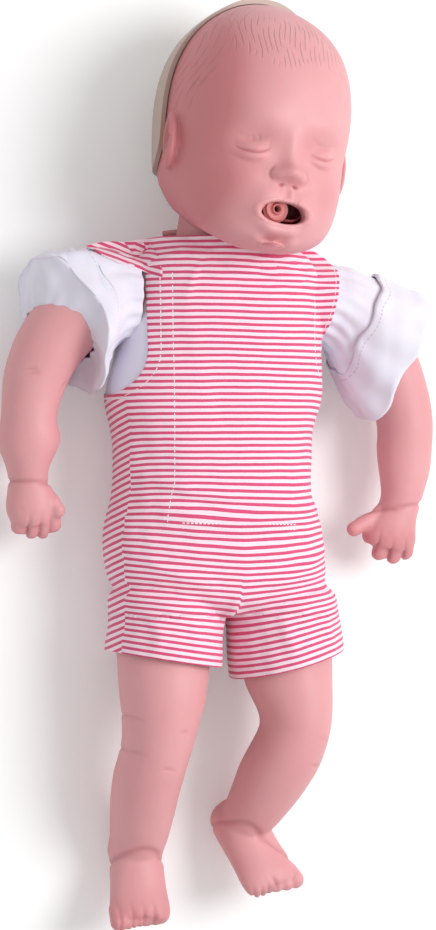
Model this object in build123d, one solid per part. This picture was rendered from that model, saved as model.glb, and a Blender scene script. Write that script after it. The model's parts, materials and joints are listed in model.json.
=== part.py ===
from build123d import *
import os
from math import atan2, cos, degrees, exp, hypot, pi, radians, sin, sqrt

# An infant resuscitation training manikin, lying on its back, in millimetres.
# X runs to the manikin's left, Y to the top of its head and Z up, out of its chest.
# The origin is on the surface it lies on, under the middle of its back.

# Cloth and skin layers of the trunk, each measured inwards from the outside of the romper
ROMPER_CLOTH = 1.0
SHIRT_CLOTH = 0.8
CLOTH_GAP = 0.3
SKIN_WALL = 3.0
ROMPER_INSIDE = ROMPER_CLOTH
SHIRT_OUTSIDE = ROMPER_INSIDE + CLOTH_GAP
SHIRT_INSIDE = SHIRT_OUTSIDE + SHIRT_CLOTH
TORSO_OUTSIDE = SHIRT_INSIDE + CLOTH_GAP
TORSO_INSIDE = TORSO_OUTSIDE + SKIN_WALL

# Trunk over the romper
CHEST_HALF_WIDTH = 71.0
WAIST_HALF_WIDTH = 64.0
HIP_HALF_WIDTH = 72.5
CHEST_DEPTH = 93.5
BELLY_DEPTH = 95.5
BACK_SINK = 4.5
WAIST_BOW = 6.0
BOW_Y = -20.0
BOW_REACH = 72.0
SHOULDER_Y = 124.0
CROTCH_Y = -112.0
TRUNK_SQUARENESS = 2.4
TRUNK_MID_Z = 47.0
TRUNK_POINTS = 16
RING_POINTS = 12

# Shoulder and hip joints: flat round seats that the limbs turn on
SHOULDER_AXIS_Y = 92.0
SHOULDER_AXIS_Z = 47.0
SHOULDER_SEAT_X = 66.0
SHOULDER_SEAT_RADIUS = 20.0
HIP_SEAT = (40.0, -84.0, 46.0)
HIP_SEAT_RADIUS = 29.0
HIP_LEAN = 35.0
SEAT_GAP = 0.3
PLUG_STEM_RADIUS = 7.0
PLUG_FLANGE_RADIUS = 12.0
PLUG_FLANGE = 2.5
PLUG_DEPTH = 14.0
RUNNING_CLEARANCE = 0.1

# Neck, in its own frame: Y up the leaning neck, origin at the middle of a ball
# that the head's neck skin slides over
NECK_PIVOT = (0.0, 126.0, 53.0)
HEAD_LEAN = 8.0
HEAD_TURN = 6.0
NECK_BALL_RADIUS = 28.0
NECK_SKIN_RADIUS = 32.0
NECK_RIM_Y = -3.0
NECK_BALL_WALL = 3.0
NECK_MOUTH_RADIUS = 19.0
NECK_SEAT_Y = -13.0
NECK_SEAT_RADIUS = 34.0
COLLAR_RADIUS = 18.0
COLLAR_FLOOR_Y = -15.5
COLLAR_FLOOR = 3.0
COLLAR_FLANGE_RADIUS = 21.0
COLLAR_FLANGE = 2.5
POST_RADIUS = 6.5
POST_STEP_RADIUS = 5.5
POST_SHOULDER_RADIUS = 8.5
POST_SHOULDER = 2.5
POST_EYE_RADIUS = 7.0
POST_EYE_WIDTH = 9.0
RETAINING_RING = 3.0
EAR_PLATE = 3.0
EAR_HALF_DEPTH = 6.0
PIN_RADIUS = 2.5
PIN_HEAD_RADIUS = 4.0
PIN_HEAD = 1.5

# Head, in its own frame: Y up, Z to the face, origin at the neck pivot
SKULL_Y = 73.0
SKULL_Z = 29.5
HEAD_HALF_WIDTH = 57.0
HEAD_SQUARENESS = 2.15
HEAD_CROWN = (83.0, -14.0)
FACE_WALL = 3.0
SHELL_PROUD = 3.5
SHELL_WALL = 3.0
SHELL_FRONT_Z = -12.0
SHELL_FOOT_Y = -34.0
SHELL_CORNER = 22.0
FRAME_WALL = 2.5
MOUTH_Y = -53.0
MOUTH_WIDTH = 30.0
MOUTH_HEIGHT = 13.0
AIRWAY_RADIUS = 5.5
AIRWAY_BORE = 3.0

# Compression mechanism inside the chest
PLATE_Y = 62.0
PLATE_LENGTH = 76.0
PLATE_WIDTH = 70.0
PLATE_TOP_Z = 77.0
PLATE_THICKNESS = 3.5
GUIDE_RADIUS = 11.0
GUIDE_WALL = 2.5
GUIDE_HEIGHT = 36.0
PLUNGER_OVERLAP = 7.5
GUIDE_FOOT_RADIUS = 22.0
GUIDE_FOOT = 3.0
GUIDE_SCREW_REACH = 18.0
SPRING_RADIUS = 16.0
SPRING_WIRE = 2.2
SPRING_TURNS = 6
COVER_WIDTH = 50.0
COVER_LENGTH = 124.0
COVER_Y = 26.0
COVER_THICKNESS = 4.0
COVER_CORNER = 14.0
COVER_LAP = 5.0
SCREW_RADIUS = 1.6
SCREW_HEAD_RADIUS = 3.2
SCREW_LENGTH = 9.0
LUNG_LENGTH = 64.0
LUNG_WIDTH = 44.0
LUNG_HEIGHT = 4.5
HOSE_RADIUS = 2.5
HOSE_BORE = 1.6
HOSE_BEND = 3.5
VENT_RADIUS = 2.0
VENT_BORE = 1.0
VENT_LENGTH = 13.0

# Sleeves
LEG_CLOTH_HALF_WIDTH = 35.5
LEG_CLOTH_HALF_DEPTH = 40.0

LEFT = 1
RIGHT = -1
SIDE_NAME = {LEFT: "left", RIGHT: "right"}


def closed_spline(points):
    """A closed smooth wire through points."""
    return Wire([Edge.make_spline([Vector(*p) for p in points], periodic=True)])


def smooth_loft(wires):
    return Solid.make_loft(wires)


def superellipse(half_x, half_z, squareness, count):
    """Points of a rounded oval, from +Z round through +X."""
    power = 2 / squareness
    points = []
    for i in range(count):
        a = 2 * pi * i / count
        s, c = sin(a), cos(a)
        x = half_x * abs(s) ** power * (1 if s >= 0 else -1)
        z = half_z * abs(c) ** power * (1 if c >= 0 else -1)
        points.append((x, z))
    return points


# Trunk

def trunk_stations():
    """(y, half width, half depth, height of the middle) of the romper, from crotch to neck."""
    chest = CHEST_DEPTH / 2
    belly = BELLY_DEPTH / 2
    hip = HIP_HALF_WIDTH
    waist = WAIST_HALF_WIDTH
    wide = CHEST_HALF_WIDTH
    low = belly - BACK_SINK
    return [
        (CROTCH_Y, 0.46 * hip, 0.55 * belly, TRUNK_MID_Z),
        (CROTCH_Y + 6, 0.74 * hip, 0.76 * belly, TRUNK_MID_Z),
        (CROTCH_Y + 18, 0.95 * hip, 0.92 * belly, TRUNK_MID_Z - 1),
        (CROTCH_Y + 34, hip, 0.99 * belly, low),
        (-58.0, hip - 1, belly, low),
        (-38.0, waist + 2, belly, low),
        (-16.0, waist, belly, low),
        (6.0, waist + 1.5, belly - 0.5, low - 0.5),
        (28.0, wide, chest, chest - BACK_SINK),
        (50.0, wide - 2, chest, chest - BACK_SINK),
        (70.0, wide - 4.5, chest, chest - BACK_SINK),
        (SHOULDER_Y - 36, wide - 5.5, chest - 0.5, chest - BACK_SINK),
        (SHOULDER_Y - 21, wide - 7.5, chest - 2.5, chest - BACK_SINK + 1.5),
        (SHOULDER_Y - 10, wide - 12, chest - 5, chest - BACK_SINK + 4),
        (SHOULDER_Y - 3, wide - 20, chest - 10, chest - BACK_SINK + 7),
        (SHOULDER_Y, wide - 28, chest - 18, chest - BACK_SINK + 8),
    ]


def side_bow(y):
    """How far the trunk bows to the manikin's right at height y."""
    return -WAIST_BOW * exp(-(((y - BOW_Y) / BOW_REACH) ** 4))


def trunk_solid(inset):
    """The trunk with its surface moved inwards by inset, flat where it lies on the floor."""
    wires = []
    stations = trunk_stations()
    last = len(stations) - 1
    for i, (y, half_width, half_depth, mid_z) in enumerate(stations):
        y_in = y + inset if i < 3 else y
        if i > last - 4:
            y_in = y - inset
        outline = superellipse(half_width - inset, half_depth - inset, TRUNK_SQUARENESS, TRUNK_POINTS)
        mid_x = side_bow(y)
        wires.append(closed_spline([(mid_x + x, y_in, mid_z + z) for x, z in outline]))
    body = smooth_loft(wires)
    floor = Pos(0, 0, inset + 100) * Box(400, 400, 200)
    return body & floor


def leg_cloth_path(side):
    """Middle of a romper leg at the hip and at its hem, and how far the hem leans."""
    hem = (42.0, -137.0) if side == RIGHT else (45.0, -141.0)
    lean = 3.0 if side == RIGHT else -14.0
    return (38.0, -92.0), hem, lean


def leg_cloth_solid(side, inset, overrun):
    """A romper leg as a solid tube, its surface moved inwards by inset."""
    (top_x, top_y), (hem_x, hem_y), lean = leg_cloth_path(side)
    wires = []
    for share, swell in ((0.0, -1.0), (0.4, 0.4), (0.75, 0.2), (1.0, 0.6)):
        x = side * (top_x + share * (hem_x - top_x))
        y = top_y + share * (hem_y - top_y)
        tilt = share * lean
        plane = Plane(
            origin=(x, y, TRUNK_MID_Z),
            x_dir=(side * cos(radians(tilt)), sin(radians(tilt)), 0),
            z_dir=(side * sin(radians(tilt)), -cos(radians(tilt)), 0),
        )
        if share == 1.0:
            plane = plane.offset(overrun)
        a = LEG_CLOTH_HALF_WIDTH + swell - inset
        b = LEG_CLOTH_HALF_DEPTH + swell - inset
        wires.append(Wire([Edge.make_ellipse(b, a, plane=Plane(plane.origin, plane.y_dir, plane.z_dir))]))
    return smooth_loft(wires)


def neckline_cutter(radius, low_y):
    """The hole for the neck, along the leaning neck."""
    return neck_frame() * upright(radius, low_y, 60)


def make_romper():
    outer = trunk_solid(0)
    inner = trunk_solid(ROMPER_INSIDE)
    for side in (LEFT, RIGHT):
        outer = outer + leg_cloth_solid(side, 0, 0)
        inner = inner + leg_cloth_solid(side, ROMPER_INSIDE, 6)
    cloth = outer - inner - neckline_cutter(ROMPER_NECK_RADIUS, ROMPER_NECK_Y)
    for side in (LEFT, RIGHT):
        cloth = cloth - romper_armhole(side)
    return cloth


ROMPER_NECK_RADIUS = 40.0
SHIRT_NECK_RADIUS = 38.0
ROMPER_NECK_Y = -8.0
SHIRT_NECK_Y = -11.0
SHIRT_HEM_Y = -45.0


def romper_armhole(side):
    """The deep armhole, as it is cut in front view, through front and back."""
    with BuildSketch(Plane.XY) as opening:
        with BuildLine():
            Polyline(
                (side * 53, SHOULDER_Y + 12),
                (side * 55, SHOULDER_AXIS_Y + 22),
                (side * 56.5, SHOULDER_AXIS_Y + 11),
                (side * 57, 66),
            )
            Spline(
                (side * 57, 66),
                (side * 64, 40),
                (side * 90, 22),
                tangents=[(0, -1), (side, -0.15)],
            )
            Polyline((side * 90, 22), (side * 90, SHOULDER_Y + 12), (side * 53, SHOULDER_Y + 12))
        make_face()
    return extrude(opening.sketch, 120)


def make_shirt_body():
    outer = trunk_solid(SHIRT_OUTSIDE)
    inner = trunk_solid(SHIRT_INSIDE)
    below = Pos(0, SHIRT_HEM_Y - 100, 50) * Box(300, 200, 200)
    cloth = outer - inner - below - neckline_cutter(SHIRT_NECK_RADIUS, SHIRT_NECK_Y)
    for side in (LEFT, RIGHT):
        cloth = cloth - shoulder_cylinder(side, SHOULDER_SEAT_RADIUS + 1.5, 30, 60)
    return cloth


def shoulder_cylinder(side, radius, near_x, length):
    """A cylinder along a shoulder's axis, from near_x outwards."""
    middle = side * (near_x + length / 2)
    return Pos(middle, SHOULDER_AXIS_Y, SHOULDER_AXIS_Z) * Rot(Y=90) * Cylinder(radius, length)


# Soft torso and its joints

def hip_plane(side):
    """The flat hip seat: origin at its middle, normal out of the trunk."""
    x, y, z = HIP_SEAT
    lean = radians(HIP_LEAN)
    return Plane(
        origin=(side * x, y, z),
        x_dir=(0, 0, 1),
        z_dir=(side * cos(lean), -sin(lean), 0),
    )


def beyond_hip(side, gap):
    """Everything past the hip seat's plane, moved outwards by gap."""
    return hip_plane(side).offset(gap).location * Pos(0, 0, 100) * Box(300, 300, 200)


def hip_half(side):
    """One side's half of the space below the waist."""
    return Pos(side * 150, CROTCH_Y, 50) * Box(300, 160, 300)


def torso_block(inset, wall):
    """The torso as a solid, its hips cut flat for the legs."""
    body = trunk_solid(inset)
    for side in (LEFT, RIGHT):
        body = body - (beyond_hip(side, -wall) & hip_half(side))
    return body


def plug_hole_radius():
    return PLUG_STEM_RADIUS + RUNNING_CLEARANCE


def make_torso_skin():
    outer = torso_block(TORSO_OUTSIDE, 0)
    inner = torso_block(TORSO_INSIDE, SKIN_WALL)
    for side in (LEFT, RIGHT):
        outer = outer + shoulder_cylinder(side, SHOULDER_SEAT_RADIUS, 40, SHOULDER_SEAT_X - 40)
        pocket = SHOULDER_SEAT_X - SKIN_WALL - 40
        inner = inner + shoulder_cylinder(side, SHOULDER_SEAT_RADIUS - SKIN_WALL, 40, pocket)
    outer = outer - neck_frame() * upright(NECK_SEAT_RADIUS, NECK_SEAT_Y, 60)
    inner = inner - neck_frame() * upright(NECK_SEAT_RADIUS + SKIN_WALL, collar_flange_y(), 60)
    skin = outer - inner
    for side in (LEFT, RIGHT):
        skin = skin - shoulder_cylinder(side, plug_hole_radius(), 40, 60)
        skin = skin - hip_plane(side).location * Cylinder(plug_hole_radius(), 30)
    neck_hole = neck_frame() * upright(COLLAR_RADIUS + RUNNING_CLEARANCE, -50, 0)
    window = Pos(0, COVER_Y, TORSO_OUTSIDE) * extrude(
        RectangleRounded(COVER_WIDTH - 2 * COVER_LAP, COVER_LENGTH - 2 * COVER_LAP, COVER_CORNER - COVER_LAP), 20
    )
    return skin - neck_hole - window


# Neck and head frames

def neck_frame():
    """Origin at the neck pivot, Y along the leaning neck."""
    return Pos(*NECK_PIVOT) * Rot(Z=-HEAD_LEAN)


def turned_frame():
    """The neck frame turned with the head, X along the pin that the head nods on."""
    return neck_frame() * Rot(Y=HEAD_TURN)


def skull_frame_location():
    """Origin at the middle of the skull."""
    return turned_frame() * Pos(0, SKULL_Y, SKULL_Z)


def head_stations():
    """(y, half width, back, front) of the head without its features, from chin to crown."""
    w = HEAD_HALF_WIDTH
    return [
        (-77.0, 0.25 * w, 15.0, 40.0),
        (-73.5, 0.46 * w, 0.0, 48.0),
        (-68.0, 0.65 * w, -18.0, 52.5),
        (-61.0, 0.80 * w, -36.0, 55.5),
        (-54.0, 0.89 * w, -49.0, 57.0),
        (-46.0, 0.95 * w, -58.0, 58.0),
        (-38.0, 0.985 * w, -64.5, 58.5),
        (-31.0, w, -68.5, 58.5),
        (-24.0, 1.005 * w, -71.5, 58.0),
        (-16.0, 1.01 * w, -74.0, 57.5),
        (-8.0, 1.02 * w, -76.5, 58.5),
        (2.0, 1.03 * w, -78.5, 60.5),
        (16.0, 1.03 * w, -79.0, 60.5),
        (32.0, 0.99 * w, -76.5, 57.0),
        (47.0, 0.90 * w, -70.0, 49.5),
        (60.0, 0.76 * w, -60.0, 38.0),
        (71.0, 0.56 * w, -47.0, 23.0),
        (78.0, 0.36 * w, -34.0, 8.0),
        (81.6, 0.17 * w, -23.0, -5.0),
    ]


def bump(x, y, mid_x, mid_y, spread_x, spread_y):
    """A smooth hill of height one."""
    return exp(-(((x - mid_x) / spread_x) ** 2) - ((y - mid_y) / spread_y) ** 2)


def face_relief(x, y):
    """How far the features stand out of the front of the head at x, y."""
    ax = abs(x)
    relief = 3.2 * bump(ax, y, 30, -42, 16, 18)
    relief += -3.6 * bump(ax, y, 25, -8, 12, 6.5)
    relief += 3.4 * bump(ax, y, 25, -15, 10, 5.5)
    relief += 1.6 * bump(ax, y, 22, 2, 15, 6)
    relief += 3.4 * bump(x, y, 0, -17, 6, 10)
    relief += 9.5 * bump(x, y, 0, -29, 6.5, 6)
    relief += 4.2 * bump(ax, y, 8, -32.5, 4.2, 4.4)
    lip = hypot(x / (MOUTH_WIDTH / 2 + 3), (y - MOUTH_Y) / (MOUTH_HEIGHT / 2 + 3))
    relief += 4.0 * exp(-(((lip - 1) / 0.36) ** 2))
    relief += -1.6 * bump(x, y, 0, -63.5, 12, 3)
    relief += 3.6 * bump(x, y, 0, -70, 13, 5)
    return relief


def head_outline(station, inset, with_face):
    """One level section of the head as points, closer together across the face."""
    y, half_width, back, front = station
    half_width -= inset
    half_z = (front - back) / 2 - inset
    mid_z = (front + back) / 2
    power = 2 / HEAD_SQUARENESS
    front_steps = 13 if with_face else 4
    angles = [pi * 0.34 * i / front_steps for i in range(-front_steps, front_steps + 1)]
    back_steps = 13 if with_face else 9
    rest = 2 * pi - 2 * angles[-1]
    angles += [angles[front_steps * 2] + rest * i / (back_steps + 1) for i in range(1, back_steps + 1)]
    points = []
    for a in angles:
        s, c = sin(a), cos(a)
        x = half_width * abs(s) ** power * (1 if s >= 0 else -1)
        z = mid_z + half_z * abs(c) ** power * (1 if c >= 0 else -1)
        if with_face and c > 0:
            z += c * c * face_relief(x, y)
        points.append((x, y, z))
    return points


def head_block(inset, with_face=False):
    """The skull as a solid about its own middle."""
    stations = head_stations()
    wires = []
    for i, station in enumerate(stations):
        moved = station
        if i == 0:
            moved = (station[0] + inset, *station[1:])
        if i == len(stations) - 1:
            moved = (station[0] - inset, *station[1:])
        if not with_face and i % 2 == 1:
            continue
        if station[1] - inset < 2 or (station[3] - station[2]) / 2 - inset < 2:
            continue
        wires.append(closed_spline(head_outline(moved, inset, with_face)))
    crown_y, crown_z = HEAD_CROWN
    return smooth_loft(wires + [Vertex(0, crown_y - inset, crown_z)])


def shell_zone(gap):
    """The back of the skull that the hard shell covers, smaller all round by gap."""
    reach = 130.0
    front = SHELL_FRONT_Z - gap
    foot = SHELL_FOOT_Y + gap
    with BuildSketch(Plane.YZ) as zone:
        with Locations((foot + reach / 2, front - reach / 2)):
            Rectangle(reach, reach)
        corner = zone.vertices().sort_by_distance((0, foot, front))[0]
        fillet(corner, SHELL_CORNER)
    return extrude(zone.sketch, 200, both=True)


def make_ear(side):
    """An outer ear: a rimmed bowl with a lobe, against the side of the head."""
    disc = scale(Sphere(1), by=(6.5, 19, 11.5))
    bowl = Pos(side * 7.0, 2, 1.5) * scale(Sphere(1), by=(7.0, 13.5, 7.5))
    tragus = Pos(side * 3.0, -3, 8.5) * scale(Sphere(1), by=(3.2, 4.5, 3.0))
    ear = disc - bowl + tragus
    return Pos(side * (HEAD_HALF_WIDTH + 1.5), -17, 0.5) * Rot(Y=side * 24, X=-8) * ear


def neck_skin_block(radius, low_y, high_y):
    length = high_y - low_y
    return Pos(0, low_y + length / 2, 0) * Rot(X=90) * Cylinder(radius, length)


def mouth_cutter(grow, depth):
    """The open mouth, an almond seen from the front, cut straight back."""
    half = MOUTH_WIDTH / 2 + grow
    rise = MOUTH_HEIGHT / 2 + grow
    with BuildSketch(Plane.XY) as opening:
        with BuildLine():
            Spline((-half, -1), (0, rise), (half, -1), tangents=[(0.35, 1), (0.35, -1)])
            Spline((half, -1), (0, -rise), (-half, -1), tangents=[(-0.35, -1), (-0.35, 1)])
        make_face()
    return Pos(0, MOUTH_Y, 70 - depth) * extrude(opening.sketch, depth)


def make_face_skin():
    """Soft face, ears and neck in one moulding, open at the back of the skull."""
    outer = head_block(0, with_face=True)
    to_skull = Pos(0, -SKULL_Y, -SKULL_Z)
    outer = outer + to_skull * neck_skin_block(NECK_SKIN_RADIUS, NECK_RIM_Y, 30)
    for side in (LEFT, RIGHT):
        outer = outer + make_ear(side)
    inner = head_block(FACE_WALL)
    throat = to_skull * neck_skin_block(NECK_SKIN_RADIUS - FACE_WALL - 1, NECK_RIM_Y + 20, 30)
    ball = to_skull * Sphere(NECK_BALL_RADIUS + SEAT_GAP)
    skin = outer - shell_zone(0) - inner - throat - ball - mouth_cutter(0, 40)
    for side in (LEFT, RIGHT):
        nostril = Pos(side * 4.2, -37.5, 66) * Rot(X=-55) * scale(Sphere(1), by=(2.4, 1.7, 4))
        skin = skin - nostril
    vent = vent_axis() * Cylinder(VENT_RADIUS, 40)
    return skull_frame_location() * (skin - vent)


def vent_axis():
    """Where the air tube leaves the nape, on the manikin's right."""
    return Pos(0, -SKULL_Y + 13, -SKULL_Z) * Rot(Y=-118) * Rot(X=14) * Pos(0, 0, 31.5)


def make_vent_tube():
    tube = Cylinder(VENT_RADIUS, VENT_LENGTH, align=(Align.CENTER, Align.CENTER, Align.MIN))
    tube = fillet(tube.faces().sort_by(Axis.Z)[-1].edges(), 0.6)
    tube = tube - Pos(0, 0, 1) * Cylinder(VENT_BORE, VENT_LENGTH, align=(Align.CENTER, Align.CENTER, Align.MIN))
    return skull_frame_location() * vent_axis() * Pos(0, 0, -2) * tube


def upright(radius, low, high):
    """A cylinder along Y."""
    return Pos(0, (low + high) / 2, 0) * Rot(X=90) * Cylinder(radius, high - low)


def crosswise(radius, width):
    """A cylinder along X about the middle."""
    return Rot(Y=90) * Cylinder(radius, width)


# Neck hardware

def collar_flange_y():
    return NECK_SEAT_Y - SKIN_WALL


def make_neck_collar():
    ball = Sphere(NECK_BALL_RADIUS) - Sphere(NECK_BALL_RADIUS - NECK_BALL_WALL)
    ball = ball - upright(60, -60, NECK_SEAT_Y) - upright(NECK_MOUTH_RADIUS, 0, 40)
    step = upright(25, NECK_SEAT_Y, NECK_SEAT_Y + NECK_BALL_WALL) & Sphere(NECK_BALL_RADIUS)
    low = collar_flange_y() - COLLAR_FLANGE
    stem = upright(COLLAR_RADIUS, low, NECK_SEAT_Y + 1)
    flange = upright(COLLAR_FLANGE_RADIUS, low, collar_flange_y())
    bore = COLLAR_RADIUS - NECK_BALL_WALL
    above = upright(bore, COLLAR_FLOOR_Y, 0)
    below = upright(bore, low - 1, COLLAR_FLOOR_Y - COLLAR_FLOOR)
    bearing = upright(POST_RADIUS + RUNNING_CLEARANCE, -40, 0)
    hose = Pos(0, 0, HOSE_OFFSET) * upright(HOSE_RADIUS + RUNNING_CLEARANCE, -40, 0)
    return neck_frame() * (ball + step + stem + flange - above - below - bearing - hose)


def make_neck_post():
    shoulder_y = COLLAR_FLOOR_Y + SEAT_GAP
    step_y = COLLAR_FLOOR_Y - COLLAR_FLOOR - SEAT_GAP
    post = upright(POST_RADIUS, step_y, -POST_EYE_RADIUS / 2)
    post = post & Box(POST_EYE_WIDTH + 8, 80, 80)
    post = post + upright(POST_SHOULDER_RADIUS, shoulder_y, shoulder_y + POST_SHOULDER)
    post = post + upright(POST_STEP_RADIUS, step_y - RETAINING_RING - 1, step_y)
    web = Pos(0, (shoulder_y + POST_SHOULDER) / 2, 0) * Box(
        POST_EYE_WIDTH, -(shoulder_y + POST_SHOULDER), 2 * POST_EYE_RADIUS
    )
    slot = Pos(0, shoulder_y + POST_SHOULDER + 40, 0) * (Box(60, 80, 60) - Box(POST_EYE_WIDTH, 80, 60))
    post = (post - slot) + web + crosswise(POST_EYE_RADIUS, POST_EYE_WIDTH)
    return turned_frame() * (post - crosswise(PIN_RADIUS + RUNNING_CLEARANCE, 40))


def make_retaining_ring():
    top = COLLAR_FLOOR_Y - COLLAR_FLOOR - SEAT_GAP
    ring = upright(POST_SHOULDER_RADIUS, top - RETAINING_RING, top)
    return neck_frame() * (ring - upright(POST_STEP_RADIUS + RUNNING_CLEARANCE, -40, 0))


def ear_inner_x():
    return POST_EYE_WIDTH / 2 + SEAT_GAP


def make_tilt_pin():
    outer = ear_inner_x() + EAR_PLATE
    pin = crosswise(PIN_RADIUS, 2 * outer)
    for side in (LEFT, RIGHT):
        pin = pin + Pos(side * (outer + PIN_HEAD / 2), 0, 0) * crosswise(PIN_HEAD_RADIUS, PIN_HEAD)
    return turned_frame() * pin


# Head hardware

FRAME_PLATE = 3.0
FRAME_EDGE_GAP = 0.3
FRAME_LOW_Y = -11.0
SHELL_BOSS_RADIUS = 6.0
SHELL_BOSS_Z = -62.0
SHELL_SCREW_X = 26.0
SHELL_SCREW_Y = 6.0
SHELL_SCREW_DEPTH = 4.0
FRAME_WINDOW_Y = 36.0
FRAME_WINDOW_RADIUS = 22.0


def shell_screw_spots():
    return [(side * SHELL_SCREW_X, SHELL_SCREW_Y) for side in (LEFT, RIGHT)]


def half_width_at(station, z, inset):
    """Half the head's width at height z in one section."""
    y, half_width, back, front = station
    half_z = (front - back) / 2 - inset
    share = min(abs(z - (front + back) / 2) / half_z, 1.0)
    return (half_width - inset) * (1 - share**HEAD_SQUARENESS) ** (1 / HEAD_SQUARENESS)


def bulkhead_outline(z, low_y, inset):
    """The head's outline at height z, above low_y, as a flat face."""
    rim = []
    for station in head_stations():
        if station[0] < low_y + 5 or station[0] > HEAD_CROWN[0] - 6:
            continue
        rim.append((half_width_at(station, z, inset), station[0]))
    first = (rim[0][0], low_y)
    right_half = [first] + rim
    crown = [(0, HEAD_CROWN[0] - inset - 1)]
    left_half = [(-x, y) for x, y in reversed(right_half)]
    with BuildSketch(Plane.XY) as outline:
        with BuildLine():
            Spline(right_half + crown + left_half)
            Line(left_half[-1], right_half[0])
        make_face()
    return outline.sketch


def make_skull_frame():
    """A bulkhead behind the face, with posts for the shell and ears for the pin."""
    front = SHELL_FRONT_Z
    middle = front - FRAME_PLATE / 2
    plate = Pos(0, 0, front - FRAME_PLATE) * extrude(
        bulkhead_outline(middle, FRAME_LOW_Y, FRAME_EDGE_GAP), FRAME_PLATE
    )
    plate = plate - Pos(0, FRAME_WINDOW_Y, front) * Cylinder(FRAME_WINDOW_RADIUS, 20)
    for x, y in shell_screw_spots():
        length = front - SHELL_BOSS_Z
        plate = plate + Pos(x, y, front - length / 2) * Cylinder(SHELL_BOSS_RADIUS, length)
        plate = plate - Pos(x, y, SHELL_BOSS_Z) * Cylinder(SCREW_RADIUS, 2 * SCREW_LENGTH)
    pivot_z = -SKULL_Z
    high = FRAME_LOW_Y + 12
    for side in (LEFT, RIGHT):
        x = side * (ear_inner_x() + EAR_PLATE / 2)
        strip = Pos(x, (high - SKULL_Y) / 2, pivot_z) * Box(EAR_PLATE, high + SKULL_Y, 2 * EAR_HALF_DEPTH)
        brace = Pos(x, FRAME_LOW_Y + 6, (pivot_z + front) / 2) * Box(EAR_PLATE, 12, front - pivot_z)
        eye = Pos(x, -SKULL_Y, pivot_z) * crosswise(EAR_HALF_DEPTH, EAR_PLATE)
        plate = plate + strip + brace + eye
    pin = Pos(0, -SKULL_Y, pivot_z) * crosswise(PIN_RADIUS, 60)
    return skull_frame_location() * (plate - pin)


def make_skull_screws():
    screws = []
    for x, y in shell_screw_spots():
        shank = Pos(x, y, SHELL_BOSS_Z - SHELL_SCREW_DEPTH + (SHELL_SCREW_DEPTH + SCREW_LENGTH) / 2) * Cylinder(
            SCREW_RADIUS, SHELL_SCREW_DEPTH + SCREW_LENGTH
        )
        head = Pos(x, y, SHELL_BOSS_Z - SHELL_SCREW_DEPTH - 1) * Cylinder(SCREW_HEAD_RADIUS, 2)
        screws.append(skull_frame_location() * (shank + head))
    return screws


def make_skull_shell():
    """The hard back of the skull, with two inner bosses for its screws."""
    cavity = head_block(SHELL_WALL - SHELL_PROUD)
    for x, y in shell_screw_spots():
        cavity = cavity - Pos(x, y, SHELL_BOSS_Z - 50) * Cylinder(SHELL_BOSS_RADIUS, 100)
    shell = (head_block(-SHELL_PROUD) & shell_zone(SEAT_GAP)) - cavity
    for x, y in shell_screw_spots():
        shell = shell - Pos(x, y, SHELL_BOSS_Z) * Cylinder(SCREW_RADIUS + RUNNING_CLEARANCE, 60)
        well = Pos(x, y, SHELL_BOSS_Z - SHELL_SCREW_DEPTH - 30) * Cylinder(SCREW_HEAD_RADIUS + 0.4, 60)
        shell = shell - well
    return skull_frame_location() * shell


INSERT_DEPTH_Z = 40.0
INSERT_FLOOR = 2.0
AIRWAY_X = -3.5


def make_mouth_insert():
    """A soft cup behind the lips, with a raised ring round the airway."""
    cup = mouth_cutter(2.5, 70 - INSERT_DEPTH_Z)
    hollow = mouth_cutter(0.5, 70 - INSERT_DEPTH_Z - INSERT_FLOOR)
    cup = (cup - hollow) & head_block(FACE_WALL + 0.2)
    rise = Pos(AIRWAY_X, MOUTH_Y, INSERT_DEPTH_Z + 4) * Cylinder(AIRWAY_RADIUS, 8)
    bore = Pos(AIRWAY_X, MOUTH_Y, INSERT_DEPTH_Z + 4) * Cylinder(AIRWAY_BORE, 20)
    return skull_frame_location() * (cup + rise - bore)


def make_throat_tube():
    """The airway from behind the mouth back to the neck."""
    start = Vector(AIRWAY_X, MOUTH_Y, INSERT_DEPTH_Z)
    bend = Vector(AIRWAY_X, MOUTH_Y, 18)
    end = Vector(AIRWAY_X, MOUTH_Y + 14, -4)
    path = FilletPolyline(start, bend, end, radius=20)
    profile = Plane(start, z_dir=(0, 0, -1)) * (Circle(AIRWAY_BORE + 1) - Circle(AIRWAY_BORE))
    return skull_frame_location() * sweep(profile, path=path)


# Chest mechanism

HOSE_OFFSET = 12.0
PLUNGER_RADIUS = 7.9


def cover_outline(inset):
    return RectangleRounded(COVER_WIDTH - 2 * inset, COVER_LENGTH - 2 * inset, COVER_CORNER - inset)


def cover_top_z():
    return TORSO_INSIDE + SEAT_GAP + COVER_THICKNESS


def guide_screw_spots():
    reach = GUIDE_SCREW_REACH * sin(radians(45))
    return [(sx * reach, PLATE_Y + sy * reach) for sx in (1, -1) for sy in (1, -1)]


def make_back_cover():
    """A plate over the back opening from inside, its middle stepped out flush with the skin."""
    top = cover_top_z()
    plate = Pos(0, COVER_Y, TORSO_INSIDE) * extrude(cover_outline(0), top - TORSO_INSIDE)
    plug = Pos(0, COVER_Y, TORSO_OUTSIDE) * extrude(cover_outline(COVER_LAP + SEAT_GAP), SKIN_WALL)
    plate = plate + plug
    for x, y in guide_screw_spots():
        plate = plate - Pos(x, y, TORSO_OUTSIDE) * Cylinder(SCREW_RADIUS, 2 * SCREW_LENGTH)
        plate = plate - Pos(x, y, TORSO_OUTSIDE) * Cylinder(SCREW_HEAD_RADIUS + RUNNING_CLEARANCE, 4)
    return plate


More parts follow.
